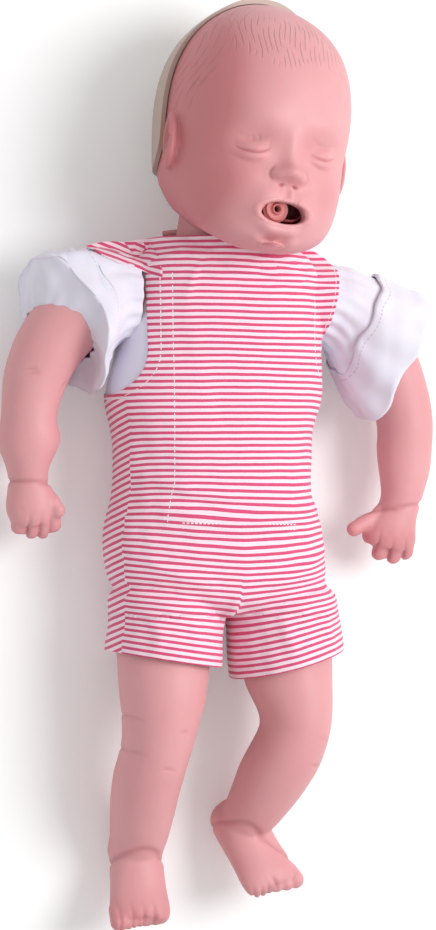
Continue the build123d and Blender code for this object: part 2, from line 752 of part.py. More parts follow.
def make_guide_screws():
    screws = []
    for x, y in guide_screw_spots():
        base = Pos(x, y, TORSO_OUTSIDE)
        head = Cylinder(SCREW_HEAD_RADIUS, 2, align=(Align.CENTER, Align.CENTER, Align.MIN))
        shank = Cylinder(SCREW_RADIUS, SCREW_LENGTH - 2, align=(Align.CENTER, Align.CENTER, Align.MIN))
        screws.append(base * (head + shank))
    return screws


def make_spring_guide():
    low = cover_top_z()
    tube = Cylinder(GUIDE_RADIUS, GUIDE_HEIGHT, align=(Align.CENTER, Align.CENTER, Align.MIN))
    tube = tube + Cylinder(GUIDE_FOOT_RADIUS, GUIDE_FOOT, align=(Align.CENTER, Align.CENTER, Align.MIN))
    tube = tube - Pos(0, 0, GUIDE_HEIGHT / 2) * Cylinder(PLUNGER_RADIUS + RUNNING_CLEARANCE, GUIDE_HEIGHT + 2)
    guide = Pos(0, PLATE_Y, low) * tube
    for x, y in guide_screw_spots():
        guide = guide - Pos(x, y, low) * Cylinder(SCREW_RADIUS, 2 * screw_bite())
    return guide


def screw_bite():
    """How far a guide screw reaches into the guide's foot."""
    return TORSO_OUTSIDE + SCREW_LENGTH - cover_top_z()


def make_chest_plate():
    plate = extrude(RectangleRounded(PLATE_WIDTH, PLATE_LENGTH, 22), PLATE_THICKNESS)
    plate = fillet(plate.edges().group_by(Axis.Z)[-1], 1.5)
    plate = Pos(0, 0, PLATE_TOP_Z - PLATE_THICKNESS) * plate
    low = cover_top_z() + GUIDE_HEIGHT - PLUNGER_OVERLAP
    rod_top = PLATE_TOP_Z - PLATE_THICKNESS
    rod = Pos(0, 0, (low + rod_top) / 2) * Cylinder(PLUNGER_RADIUS, rod_top - low)
    return Pos(0, PLATE_Y, 0) * (plate + rod)


def make_spring():
    """A compression spring between the guide's foot and the plate."""
    low = cover_top_z() + GUIDE_FOOT
    high = PLATE_TOP_Z - PLATE_THICKNESS
    height = high - low - SPRING_WIRE
    turn = height / SPRING_TURNS
    helix = Edge.make_helix(turn, height, SPRING_RADIUS - SPRING_WIRE / 2)
    profile = Plane(helix @ 0, z_dir=helix % 0) * Circle(SPRING_WIRE / 2)
    wire = sweep(profile, path=Wire([helix]), is_frenet=True)
    return Pos(0, PLATE_Y, low + SPRING_WIRE / 2) * wire


def lung_end_y():
    return PLATE_Y + PLATE_LENGTH / 2


def make_lung_bag():
    """A soft flat bag on the plate, with a nipple for the hose."""
    bag = extrude(RectangleRounded(LUNG_WIDTH, LUNG_LENGTH, 12), LUNG_HEIGHT)
    bag = fillet(bag.edges(), 1.8)
    return Pos(0, lung_end_y() - LUNG_LENGTH / 2, PLATE_TOP_Z) * bag


def make_airway_hose():
    """The hose from the neck's collar to the lung bag."""
    lean = radians(HEAD_LEAN)
    axis = Vector(sin(lean), cos(lean), 0)
    pivot = Vector(*NECK_PIVOT)
    top = pivot + axis * COLLAR_FLOOR_Y + Vector(0, 0, HOSE_OFFSET)
    end = Vector(0, lung_end_y(), PLATE_TOP_Z + LUNG_HEIGHT / 2)
    bend_low = end + Vector(0, HOSE_BEND + 0.5, 0)
    bend_high = top - axis * ((top.Y - bend_low.Y) / axis.Y)
    path = FilletPolyline(top, bend_high, bend_low, end, radius=HOSE_BEND)
    profile = Plane(top, z_dir=axis * -1) * (Circle(HOSE_RADIUS) - Circle(HOSE_BORE))
    return sweep(profile, path=path)


# Limbs

def tapered_limb(stations):
    """A loft along a path of (x, y, z, half width, half depth)."""
    points = [Vector(*s[:3]) for s in stations]
    wires = []
    for i, (x, y, z, half_width, half_depth) in enumerate(stations):
        ahead = points[min(i + 1, len(points) - 1)]
        behind = points[max(i - 1, 0)]
        along = (ahead - behind).normalized()
        if i == 0:
            along = stations_root_normal(points)
        across = Vector(0, 0, 1).cross(along).normalized()
        plane = Plane(points[i], x_dir=across, z_dir=along)
        wires.append(ring_wire(plane, half_width, half_depth))
    return smooth_loft(wires)


def stations_root_normal(points):
    return (points[1] - points[0]).normalized()


def capsule(a, b, radius_a, radius_b):
    """A finger or toe: a tapered rod with ball ends."""
    a = Vector(*a)
    b = Vector(*b)
    along = b - a
    rod = Plane(a, z_dir=along) * Cone(radius_a, radius_b, along.length, align=(Align.CENTER, Align.CENTER, Align.MIN))
    return rod + Pos(a) * Sphere(radius_a) + Pos(b) * Sphere(radius_b)


ARM_PATHS = {
    RIGHT: [
        (66.3, 92, 47, 20.5, 20.5),
        (80, 89, 46, 22, 21.5),
        (98, 79, 44, 23, 22),
        (115, 58, 41, 22, 21.5),
        (124.5, 32, 39, 19.5, 19.5),
        (126.5, 10, 38, 18.5, 18.5),
        (127, -12, 37, 16, 16.5),
        (126.5, -27, 36, 13, 13.5),
        (125, -36, 35, 15.5, 13.5),
        (123.5, -45, 35, 16.5, 13),
        (122, -54, 34, 13, 10),
    ],
    LEFT: [
        (66.3, 92, 47, 20.5, 20.5),
        (80, 88, 46, 22, 21.5),
        (98, 75, 44, 23, 22),
        (115, 52, 41, 22, 21.5),
        (127, 26, 39, 19.5, 19.5),
        (130.5, 4, 38, 18.5, 18.5),
        (130, -20, 37, 17, 16.5),
        (127, -43, 36, 13.5, 13.5),
        (124, -52, 35, 15.5, 13.5),
        (120.5, -62, 35, 18.5, 13),
        (118.5, -71, 34, 15, 10),
    ],
}
HAND_Z = 34.0
FINGER_RADIUS = 6.0
FINGER_LENGTH = 13.0
FINGER_RISE = 6.0
FINGER_ENDS = {
    RIGHT: [(132, -55), (124, -58), (117, -58), (110, -54)],
    LEFT: [(105, -68), (113.5, -74), (123.5, -76.5), (132, -74)],
}
THUMB_RADIUS = 5.0
THUMB_PATH = {
    RIGHT: [(114, -37, 38), (108.5, -45, 42)],
    LEFT: [(115, -47, 36), (94, -58.5, 39)],
}


def make_arm(side):
    """A soft arm: root on its seat, bent elbow, half-closed fist."""
    stations = [(side * s[0], *s[1:]) for s in ARM_PATHS[side]]
    arm = tapered_limb(stations)
    arm = arm - Pos(side * (SHOULDER_SEAT_X + SEAT_GAP - 50), SHOULDER_AXIS_Y, SHOULDER_AXIS_Z) * Box(100, 100, 100)
    for x, y in FINGER_ENDS[side]:
        knuckle = (side * (x + 0.15 * (122 - x)), y + FINGER_LENGTH, HAND_Z + FINGER_RISE)
        arm = arm + capsule(knuckle, (side * x, y, HAND_Z), FINGER_RADIUS, 0.93 * FINGER_RADIUS)
    base, tip = [(side * x, y, z) for x, y, z in THUMB_PATH[side]]
    arm = arm + capsule(base, tip, 1.1 * THUMB_RADIUS, THUMB_RADIUS)
    socket = Pos(side * (SHOULDER_SEAT_X + SEAT_GAP + PLUG_DEPTH / 2), SHOULDER_AXIS_Y, SHOULDER_AXIS_Z)
    return arm - socket * crosswise(plug_hole_radius(), PLUG_DEPTH)


def plug(wall):
    """A pivot along Z: flange inside the trunk's wall, stem out through it into the limb."""
    low = -(wall + SEAT_GAP + PLUG_FLANGE)
    flange = Pos(0, 0, low + PLUG_FLANGE / 2) * Cylinder(PLUG_FLANGE_RADIUS, PLUG_FLANGE)
    high = SEAT_GAP + PLUG_DEPTH
    stem = Pos(0, 0, (low + high) / 2) * Cylinder(PLUG_STEM_RADIUS, high - low)
    tip = Pos(0, 0, high - 1) * Cylinder(PLUG_STEM_RADIUS, 2)
    return flange + stem + tip


def make_shoulder_plug(side):
    seat = Plane(
        origin=(side * SHOULDER_SEAT_X, SHOULDER_AXIS_Y, SHOULDER_AXIS_Z),
        x_dir=(0, 0, 1),
        z_dir=(side, 0, 0),
    )
    return seat.location * plug(SKIN_WALL)


def make_hip_plug(side):
    return hip_plane(side).location * plug(SKIN_WALL)


LEG_PATHS = {
    RIGHT: [
        (39, -84, 46, 28, 31),
        (41, -106, 48, 28.5, 31),
        (42, -128, 52, 29.5, 30.5),
        (42.5, -155, 57, 29, 28.5),
        (45, -180, 59, 25, 26.5),
        (47.5, -198, 57, 22.5, 25.5),
        (51, -218, 50, 22, 24),
        (51.5, -240, 38, 21, 21.5),
        (51.5, -262, 26, 18.5, 18),
        (51.5, -272, 20, 17.5, 17),
    ],
    LEFT: [
        (39, -84, 46, 27, 31),
        (41, -106, 47, 28.5, 31),
        (43, -128, 50, 30, 30.5),
        (43, -155, 55, 28.5, 28.5),
        (47, -180, 57, 23.5, 26.5),
        (42.5, -202, 54, 23, 25.5),
        (35, -219, 46, 22.5, 24),
        (28.5, -235, 37, 20, 21.5),
        (22.5, -249, 28, 17, 18),
        (19, -256, 22, 16, 17),
    ],
}
FOOT_LENGTH = 66.0
FOOT_HEADING = {RIGHT: (-4.0, -47.0, 44.0), LEFT: (25.0, -44.0, 38.0)}


def make_foot(side):
    """A chubby foot along its own Y, sole towards its own -Z, heel at its origin."""
    stations = [
        (0, -7, 6, 8, 9),
        (0, 0, 6, 14, 14),
        (0, 12, 8, 17, 17),
        (0, 28, 5, 18, 14.5),
        (0, 44, 2, 19.5, 11.5),
        (0, 54, 0.5, 19.5, 9.5),
        (0, 59, 0, 16, 7),
    ]
    foot = tapered_limb(stations)
    for k in range(5):
        x = side * (-14.5 + 7.2 * k)
        big = 6.2 if k == 0 else 4.6 - 0.15 * k
        reach = FOOT_LENGTH - big - (0, 1.0, 3.0, 5.5, 8.5)[k]
        foot = foot + capsule((x, 50, 0.5), (x * 1.02, reach, 0.5), big, 0.95 * big)
    return foot


def make_leg(side):
    """A soft leg: cut flat at the hip, bent knee, foot turned up."""
    stations = [(side * s[0], *s[1:]) for s in LEG_PATHS[side]]
    leg = tapered_limb(stations)
    root = hip_plane(side).offset(SEAT_GAP).location * Pos(0, 0, -100) * Box(300, 300, 200)
    leg = leg - root
    ahead = Vector(*FOOT_HEADING[side]).normalized()
    up = (Vector(0, 0.66, 0.75) - ahead * ahead.dot(Vector(0, 0.66, 0.75))).normalized()
    heel = Vector(side * LEG_PATHS[side][-1][0], LEG_PATHS[side][-1][1], LEG_PATHS[side][-1][2])
    frame = Plane(heel - ahead * 12 - up * 6, x_dir=ahead.cross(up), z_dir=up)
    leg = leg + frame.location * make_foot(side)
    socket = hip_plane(side).offset(SEAT_GAP).location * Pos(0, 0, PLUG_DEPTH / 2)
    return leg - socket * Cylinder(plug_hole_radius(), PLUG_DEPTH)


# Sleeves

SLEEVE_ROOT_X = 67.5
# (middle, normal, half width, half depth) of each ring from the shoulder to the open end
SLEEVE_RINGS = {
    RIGHT: [
        ((SLEEVE_ROOT_X, 91.5, 47), (1, 0, 0), 24.5, 24.5),
        ((85, 88, 46.5), (1, -0.12, 0.25), 34, 32),
        ((107, 74, 45), (1, -0.2, 0.55), 49, 45),
    ],
    LEFT: [
        ((SLEEVE_ROOT_X, 91.5, 47), (1, 0, 0), 24.5, 24.5),
        ((77, 88, 46.5), (1, -0.2, 0), 30, 29),
        ((91, 79, 46), (1, -0.35, 0), 37, 35),
        ((104, 67, 45.5), (1, -0.48, 0), 41, 40),
        ((119, 54, 45), (1, -0.48, 0), 43, 41),
    ],
}


def ring_plane(middle, normal):
    """A plane across a limb, its X level and its Y upwards."""
    along = Vector(*normal).normalized()
    across = along.cross(Vector(0, 0, 1)).normalized()
    return Plane(origin=middle, x_dir=across, z_dir=along)


def sleeve_tube(side, inset, overrun):
    """A flaring tube round the arm, its surface moved inwards by inset."""
    wires = []
    if overrun:
        (x, y, z), normal, half_width, half_depth = SLEEVE_RINGS[side][0]
        root = ring_plane((side * (x - overrun), y, z), (side, 0, 0))
        wires.append(ring_wire(root, half_width - inset, half_depth - inset))
    for (x, y, z), (nx, ny, nz), half_width, half_depth in SLEEVE_RINGS[side]:
        plane = ring_plane((side * x, y, z), (side * nx, ny, nz))
        wires.append(ring_wire(plane, half_width - inset, half_depth - inset))
    if overrun:
        wires.append(ring_wire(plane.offset(overrun), half_width - inset, half_depth - inset))
    return smooth_loft(wires)


def ring_wire(plane, half_width, half_depth):
    """An oval of a fixed number of points, so that a loft through such rings doesn't twist."""
    ring = []
    for k in range(RING_POINTS):
        a = 2 * pi * k / RING_POINTS
        ring.append(plane.from_local_coords((half_width * cos(a), half_depth * sin(a), 0)))
    return Wire([Edge.make_spline(ring, periodic=True)])


def make_sleeve(side):
    return sleeve_tube(side, 0, 0) - sleeve_tube(side, SHIRT_CLOTH, 6)


def build():
    nodes = {}
    nodes["romper"] = make_romper()
    nodes["shirt_body"] = make_shirt_body()
    nodes["torso_skin"] = make_torso_skin()
    nodes["back_cover"] = make_back_cover()
    nodes["spring_guide"] = make_spring_guide()
    nodes["compression_spring"] = make_spring()
    nodes["chest_plate"] = make_chest_plate()
    nodes["lung_bag"] = make_lung_bag()
    nodes["airway_hose"] = make_airway_hose()
    nodes["neck_collar"] = make_neck_collar()
    nodes["neck_post"] = make_neck_post()
    nodes["neck_retaining_ring"] = make_retaining_ring()
    nodes["tilt_pin"] = make_tilt_pin()
    nodes["face_skin"] = make_face_skin()
    nodes["skull_back_shell"] = make_skull_shell()
    nodes["skull_frame"] = make_skull_frame()
    nodes["mouth_insert"] = make_mouth_insert()
    nodes["throat_tube"] = make_throat_tube()
    nodes["vent_tube"] = make_vent_tube()
    for i, screw in enumerate(make_guide_screws()):
        nodes[f"guide_screw_{i + 1}"] = screw
    for i, screw in enumerate(make_skull_screws()):
        nodes[f"skull_screw_{i + 1}"] = screw
    for side in (LEFT, RIGHT):
        name = SIDE_NAME[side]
        nodes[f"arm_{name}"] = make_arm(side)
        nodes[f"shoulder_plug_{name}"] = make_shoulder_plug(side)
        nodes[f"shirt_sleeve_{name}"] = make_sleeve(side)
        nodes[f"leg_{name}"] = make_leg(side)
        nodes[f"hip_plug_{name}"] = make_hip_plug(side)
    return nodes


if __name__ == "__main__":
    os.makedirs("parts", exist_ok=True)
    for name, shape in build().items():
        export_step(shape, f"parts/{name}.step")
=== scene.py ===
import json
from contextlib import contextmanager
from math import cos, pi, radians, sin

import bmesh
import bpy
import numpy as np
from mathutils import Matrix, Vector

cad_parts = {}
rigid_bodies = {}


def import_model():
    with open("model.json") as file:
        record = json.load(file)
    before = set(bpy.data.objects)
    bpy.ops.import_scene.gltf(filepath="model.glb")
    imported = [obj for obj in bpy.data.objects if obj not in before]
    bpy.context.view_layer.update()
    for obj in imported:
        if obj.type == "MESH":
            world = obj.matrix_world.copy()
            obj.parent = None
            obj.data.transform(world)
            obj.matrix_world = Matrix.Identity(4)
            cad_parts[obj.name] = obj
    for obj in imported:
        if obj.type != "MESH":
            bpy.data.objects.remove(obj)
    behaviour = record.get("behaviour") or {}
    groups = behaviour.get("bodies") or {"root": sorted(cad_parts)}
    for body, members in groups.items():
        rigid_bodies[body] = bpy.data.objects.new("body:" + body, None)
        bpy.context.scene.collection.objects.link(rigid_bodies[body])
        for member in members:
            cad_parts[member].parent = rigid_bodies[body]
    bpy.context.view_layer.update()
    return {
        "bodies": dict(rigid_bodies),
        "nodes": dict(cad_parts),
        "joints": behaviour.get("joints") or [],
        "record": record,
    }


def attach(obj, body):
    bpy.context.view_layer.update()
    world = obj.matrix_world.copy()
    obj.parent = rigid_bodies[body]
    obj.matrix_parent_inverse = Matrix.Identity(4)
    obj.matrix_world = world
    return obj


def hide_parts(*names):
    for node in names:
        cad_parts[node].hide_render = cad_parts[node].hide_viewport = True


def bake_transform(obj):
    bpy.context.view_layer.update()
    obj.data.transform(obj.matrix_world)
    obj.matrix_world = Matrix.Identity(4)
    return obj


# An infant resuscitation training manikin on its back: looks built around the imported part.
# Lengths are in millimetres until they reach a mesh. X runs to the manikin's left, Y to the
# top of its head and Z up out of its chest, as in the part.

MM = 0.001
LEFT = 1
RIGHT = -1
SIDE_NAME = {LEFT: "left", RIGHT: "right"}

# Camera, at the photograph's angle and scale
VIEW_SIDE_ANGLE = 17.0
VIEW_DISTANCE = 1800.0
VIEW_CENTRE = (-2.7, -16.0, 47.0)
VIEW_HEIGHT = 604.5

# Head frame, as in the part
NECK_PIVOT = (0.0, 126.0, 53.0)
HEAD_LEAN = 8.0
HEAD_TURN = 6.0
SKULL_Y = 73.0
SKULL_Z = 29.5
MOUTH_Y = -53.0
MOUTH_WIDTH = 30.0
MOUTH_HEIGHT = 13.0
AIRWAY_X = -3.5
AIRWAY_Z = 56.0
AIRWAY_HOLE = 1.5
AIRWAY_DISC = 8.5
LIP_Y = -57.6
AIRWAY_Y = -55.4
EYE_X = 24.0
EYE_Y = -19.0
EYE_HALF = 9.0
EYE_SLANT = 0.066
EAR_ROOT = 57.5
SEAM_CLOSE = 1.8
EAR_MIDDLE = (-17.0, 0.5)
EAR_SIZE = (19.0, 11.5)
NOSE_Y = -34.5
PHILTRUM_Y = -45.5
CHIN_Y = -77.0
STRAND_PITCH = 5.6
STRAND_LENGTH = 23.0

# How far the face is lowered: height on the skull, and the move there
FACE_DROPS = [
    (-100, 0), (-78, -2.5), (-62, -4.6), (-53, -4.6), (-46, -3.6), (-38, -1.6),
    (-30, -3.0), (-14, -6.0), (6, -3.5), (32, 0), (120, 0),
]

# Trunk over the romper, as in the part
CHEST_HALF_WIDTH = 71.0
WAIST_HALF_WIDTH = 64.0
HIP_HALF_WIDTH = 72.5
CHEST_DEPTH = 93.5
BELLY_DEPTH = 95.5
BACK_SINK = 4.5
SHOULDER_Y = 124.0
CROTCH_Y = -112.0
TRUNK_SQUARENESS = 2.4
TRUNK_MID_Z = 47.0
WAIST_BOW = 6.0
BOW_Y = -20.0
BOW_REACH = 72.0
LEG_CLOTH_HALF_WIDTH = 35.5
LEG_CLOTH_HALF_DEPTH = 40.0
SHIRT_INSET = 1.3

# Cloth
STRIPE_PITCH = 4.05
PINK_SHARE = 0.47
ROMPER_CLOTH = 1.0
SHIRT_CLOTH = 0.7
SHIRT_END = -24.0
ROMPER_NECK_RADIUS = 40.0
ROMPER_NECK_Y = -8.0
ARMHOLE_X = {RIGHT: 57.0, LEFT: 62.0}
ARMHOLE_TOP = 66.0
ARMHOLE_BOTTOM = 22.0
ARMHOLE_FLARE = 33.0
HEM_WIDTH = 7.0
STITCH_LENGTH = 2.6
SIDE_SLANT = 21.0

# Sleeves: middle, normal and radii of each ring, from the shoulder to the open end
SLEEVE_RINGS = {
    RIGHT: [
        ((60, 93, 47), (1, 0, 0), 25, 25),
        ((75, 92, 46.5), (1, -0.15, 0.1), 30, 28),
        ((91, 85, 46), (1, -0.3, 0.32), 38, 33),
        ((105, 74, 46), (1, -0.42, 0.5), 46, 38),
    ],
    LEFT: [
        ((60, 92, 47), (1, 0, 0), 24.5, 24.5),
        ((76, 88, 46.5), (1, -0.2, 0), 27, 26),
        ((91, 77, 46), (1, -0.4, 0), 32, 30),
        ((105, 65, 45.5), (1, -0.48, 0), 38, 36),
        ((119, 54, 45), (1, -0.5, 0), 43, 39),
    ],
}
ARM_RING = ((107, 68, 42.5), (0.55, -0.68, 0.5), 24.5, 24.5)
CUFF_START = {RIGHT: 0.62, LEFT: 0.52}
CUFF_LIFT = 1.7

# Meshes: voxel sizes, and points or columns round a tube
HEAD_VOXEL = 1.25
MOUTH_VOXEL = 0.8
ROMPER_VOXEL = 2.0
INSIDE_SHARE = 0.62
SLEEVE_AROUND = 130
YOKE_GRID = (120, 36)
STRAP_GRID = (40, 26)

# Colours, as 8-bit display values; two of one kind are mixed by a noise
SKIN = (229, 170, 173)
# Blush of the cheeks, nose and tips, also used as painted shade on the face and neck
SKIN_BLUSH_AND_SHADE = (205, 128, 132)
# Painted shade: the skin's colour in its creases, nostrils and hollows
SKIN_CREASE_SHADE = (176, 98, 102)
SALMON = ((212, 132, 130), (186, 100, 100))
# Painted shade deep in the mouth and in the airway's bore
SALMON_SHADE = (120, 40, 44)
STRIPE_PALE = ((252, 232, 240), (244, 218, 230))
STRIPE_ROSE = ((226, 92, 132), (212, 74, 118))
STRIPE_STITCH = (250, 238, 244)
COTTON = ((238, 234, 244), (226, 221, 236))
COTTON_STITCH = (205, 198, 220)
SHELL = (190, 168, 156)
TUBE = (206, 150, 148)
RIGID = (225, 222, 214)
STEEL = (170, 172, 176)

# Stage: lengths here are in metres
FLOOR_SHADE = (0.9, 0.9, 0.9, 1.0)
FLOOR_GLOW = 0.14
WHITE = (1.0, 1.0, 1.0, 1.0)
WORLD_LIGHT = 0.62
KEY_PLACE = (0.95, 0.25, 1.45)
KEY_TARGET = (0, -0.05, 0.05)
KEY_SIZE = 1.0
KEY_POWER = 20.0

# A stitch distance that no stitch reaches
NO_STITCH = 99.0

FRAME = {}


# Small helpers

def srgb(colour):
    out = []
    for v in colour:
        v = v / 255
        out.append(v / 12.92 if v <= 0.04045 else ((v + 0.055) / 1.055) ** 2.4)
    return (*out, 1.0)


def hill(distance, spread):
    return np.exp(-((distance / spread) ** 2))


def ramp(value, low, high):
    """Zero below low, one above high, smooth between."""
    t = np.clip((value - low) / (high - low), 0.0, 1.0)
    return t * t * (3 - 2 * t)


def turn_angles(count):
    return 2 * pi * np.arange(count) / count


def ripple(points, wavelength, seed):
    """Smooth wandering waves between about -1 and 1, the same on every run."""
    rng = np.random.default_rng(seed)
    total = np.zeros(len(points))
    for k in range(6):
        direction = rng.normal(size=3)
        direction /= np.linalg.norm(direction)
        length = wavelength * (0.7 + 0.9 * rng.random())
        total += np.sin(points @ direction * 2 * pi / length + rng.random() * 2 * pi)
    return total / 3.5


def hermite(t, knots, values):
    """A smooth curve through values at knots, worked out for many t at once."""
    knots = np.asarray(knots, float)
    values = np.asarray(values, float)
    slopes = np.gradient(values, knots)
    i = np.clip(np.searchsorted(knots, t) - 1, 0, len(knots) - 2)
    gap = knots[i + 1] - knots[i]
    s = (t - knots[i]) / gap
    start = (2 * s**3 - 3 * s**2 + 1) * values[i] + (s**3 - 2 * s**2 + s) * gap * slopes[i]
    return start + (3 * s**2 - 2 * s**3) * values[i + 1] + (s**3 - s**2) * gap * slopes[i + 1]


def link_object(name, data):
    obj = bpy.data.objects.new(name, data)
    bpy.context.collection.objects.link(obj)
    return obj


def new_object(name, vertices, faces):
    mesh = bpy.data.meshes.new(name)
    mesh.from_pydata([tuple(MM * c for c in v) for v in vertices], [], faces)
    return link_object(name, mesh)


def read_vectors(items, field):
    flat = np.empty(3 * len(items))
    items.foreach_get(field, flat)
    return flat.reshape(-1, 3)


def points_of(obj):
    return read_vectors(obj.data.vertices, "co") / MM


def normals_of(obj):
    return read_vectors(obj.data.vertex_normals, "vector")


def move_points(obj, points):
    obj.data.vertices.foreach_set("co", (points * MM).ravel())
    obj.data.update()


def push(obj, amount):
    """Moves each point along its normal by amount."""
    move_points(obj, points_of(obj) + normals_of(obj) * amount[:, None])


def set_attributes(obj, **named):
    """Gives each point of a mesh the values that its material reads."""
    for name, values in named.items():
        layer = obj.data.attributes.get(name) or obj.data.attributes.new(name, "FLOAT", "POINT")
        layer.data.foreach_set("value", np.asarray(values, np.float32))


def smooth(obj, rounds):
    """Evens out a mesh without shrinking it much: each round goes in and a little further out."""
    mesh = obj.data
    edges = np.empty(2 * len(mesh.edges), np.int32)
    mesh.edges.foreach_get("vertices", edges)
    a, b = edges.reshape(-1, 2).T
    points = points_of(obj)
    count = np.bincount(a, minlength=len(points)) + np.bincount(b, minlength=len(points))
    for step in range(2 * rounds):
        total = np.empty_like(points)
        for axis in range(3):
            sums = np.bincount(a, points[b, axis], len(points))
            total[:, axis] = sums + np.bincount(b, points[a, axis], len(points))
        points += (-0.52 if step % 2 else 0.5) * (total / np.maximum(count, 1)[:, None] - points)
    move_points(obj, points)


def apply_modifier(obj, kind, **settings):
    modifier = obj.modifiers.new(kind, kind)
    for key, value in settings.items():
        setattr(modifier, key, value)
    graph = bpy.context.evaluated_depsgraph_get()
    mesh = bpy.data.meshes.new_from_object(obj.evaluated_get(graph))
    obj.modifiers.clear()
    obj.data = mesh


def remesh(obj, size):
    apply_modifier(obj, "REMESH", mode="VOXEL", voxel_size=size * MM, adaptivity=0.0)


def shade_smooth(obj):
    obj.data.polygons.foreach_set("use_smooth", [True] * len(obj.data.polygons))


def sculpt(name, node, size, rounds=2):
    """A fine, even copy of a CAD piece, ready to be shaped."""
    obj = link_object(name, FRAME["nodes"][node].data.copy())
    obj.data.materials.clear()
    remesh(obj, size)
    smooth(obj, rounds)
    return obj


@contextmanager
def edited(mesh):
    bm = bmesh.new()
    bm.from_mesh(mesh)
    bm.verts.ensure_lookup_table()
    yield bm
    bm.to_mesh(mesh)
    bm.free()


def refine(obj, chosen):
    """Splits the edges whose two points are both chosen."""
    with edited(obj.data) as bm:
        edges = [e for e in bm.edges if chosen[e.verts[0].index] and chosen[e.verts[1].index]]
        bmesh.ops.subdivide_edges(bm, edges=edges, cuts=1, use_grid_fill=True, smooth=0.0)


def cut_away(obj, field):
    """Cuts a surface along field = 0 and drops the part where the field is positive."""
    values = field(points_of(obj))
    with edited(obj.data) as bm:
        value = {v: float(values[v.index]) for v in bm.verts}
        fresh = set()
        for edge in [e for e in bm.edges if (value[e.verts[0]] > 0) != (value[e.verts[1]] > 0)]:
            a, b = edge.verts
            share = value[a] / (value[a] - value[b])
            vert = bmesh.utils.edge_split(edge, a, min(max(share, 0.02), 0.98))[1]
            value[vert] = 0.0
            fresh.add(vert)
        for face in {f for v in fresh for f in v.link_faces}:
            on_line = [v for v in face.verts if v in fresh]
            if len(on_line) == 2:
                bmesh.utils.face_split(face, on_line[0], on_line[1])
        doomed = [f for f in bm.faces if sum(value[v] for v in f.verts) > 0]
        bmesh.ops.delete(bm, geom=doomed, context="FACES")


def keep_faces(obj, name, field):
    part = link_object(name, obj.data.copy())
    with edited(part.data) as bm:
        middles = np.array([f.calc_center_median() for f in bm.faces]) / MM
        doomed = [f for f, kept in zip(bm.faces, field(middles) > 0) if not kept]
        bmesh.ops.delete(bm, geom=doomed, context="FACES")
    return part


def drop(obj):
    bpy.data.objects.remove(obj)


def thicken(obj, thickness, material):
    """Gives a thin surface the cloth's thickness, inwards, and its material."""
    apply_modifier(obj, "SOLIDIFY", thickness=thickness * MM, offset=-1.0)
    dress(obj, material)


def dress(obj, material):
    obj.data.materials.clear()
    obj.data.materials.append(material)
    shade_smooth(obj)


# Materials

class Graph:
    """Short names for building a node material."""

    def __init__(self, name):
        self.material = bpy.data.materials.new(name)
        self.material.use_nodes = True
        self.nodes = self.material.node_tree.nodes
        self.links = self.material.node_tree.links
        self.shader = self.nodes["Principled BSDF"]

    def link(self, a, b):
        self.links.new(a, b)

    def feed(self, value, socket):
        if isinstance(value, (int, float, tuple)):
            socket.default_value = value
        else:
            self.link(value, socket)

    def set(self, **values):
        for key, value in values.items():
            self.feed(value, self.shader.inputs[key.replace("_", " ")])

    def math(self, operation, a, b=0.0, clamp=False):
        node = self.nodes.new("ShaderNodeMath")
        node.operation = operation
        node.use_clamp = clamp
        self.feed(a, node.inputs[0])
        self.feed(b, node.inputs[1])
        return node.outputs[0]

    def attribute(self, name):
        node = self.nodes.new("ShaderNodeAttribute")
        node.attribute_name = name
        return node.outputs["Fac"]

    def noise(self, scale, detail=3.0):
        node = self.nodes.new("ShaderNodeTexNoise")
        node.inputs["Scale"].default_value = scale
        node.inputs["Detail"].default_value = detail
        place = self.nodes.new("ShaderNodeTexCoord")
        self.link(place.outputs["Object"], node.inputs["Vector"])
        return node.outputs["Fac"]

    def mix(self, factor, a, b):
        """A blend of two colours, which a mix node takes at 6 and 7 and gives at 2."""
        node = self.nodes.new("ShaderNodeMix")
        node.data_type = "RGBA"
        self.feed(factor, node.inputs[0])
        self.feed(a, node.inputs[6])
        self.feed(b, node.inputs[7])
        return node.outputs[2]

    def bump(self, height, distance, strength, under=None):
        node = self.nodes.new("ShaderNodeBump")
        node.inputs["Strength"].default_value = strength
        node.inputs["Distance"].default_value = distance
        self.link(height, node.inputs["Height"])
        if under is not None:
            self.link(under.outputs[0], node.inputs["Normal"])
        self.link(node.outputs[0], self.shader.inputs["Normal"])
        return node


def skin_graph(name):
    """Soft vinyl, pinker where the mesh marks blush and painted shade, with painted shade darkening its
    creases, and its fine grain.
    """
    g = Graph(name)
    patch = g.math("MULTIPLY", g.noise(14.0, 2.0), 0.55)
    # Blush and painted shade share one darker, pinker colour
    flush_and_shade = g.math("ADD", patch, g.attribute("blush"), clamp=True)
    tinted = g.mix(flush_and_shade, srgb(SKIN), srgb(SKIN_BLUSH_AND_SHADE))
    # Painted shade: darker, redder skin where the mesh marks creases, nostrils and ear hollows
    g.set(Base_Color=g.mix(g.attribute("crease"), tinted, srgb(SKIN_CREASE_SHADE)))
    g.set(Roughness=0.5, Subsurface_Weight=0.2, Subsurface_Scale=0.005, Specular_IOR_Level=0.4)
    g.shader.inputs["Subsurface Radius"].default_value = (1.0, 0.35, 0.25)
    return g, g.bump(g.noise(900.0, 2.0), 0.0001, 0.3)


def skin_material():
    return skin_graph("skin")[0].material


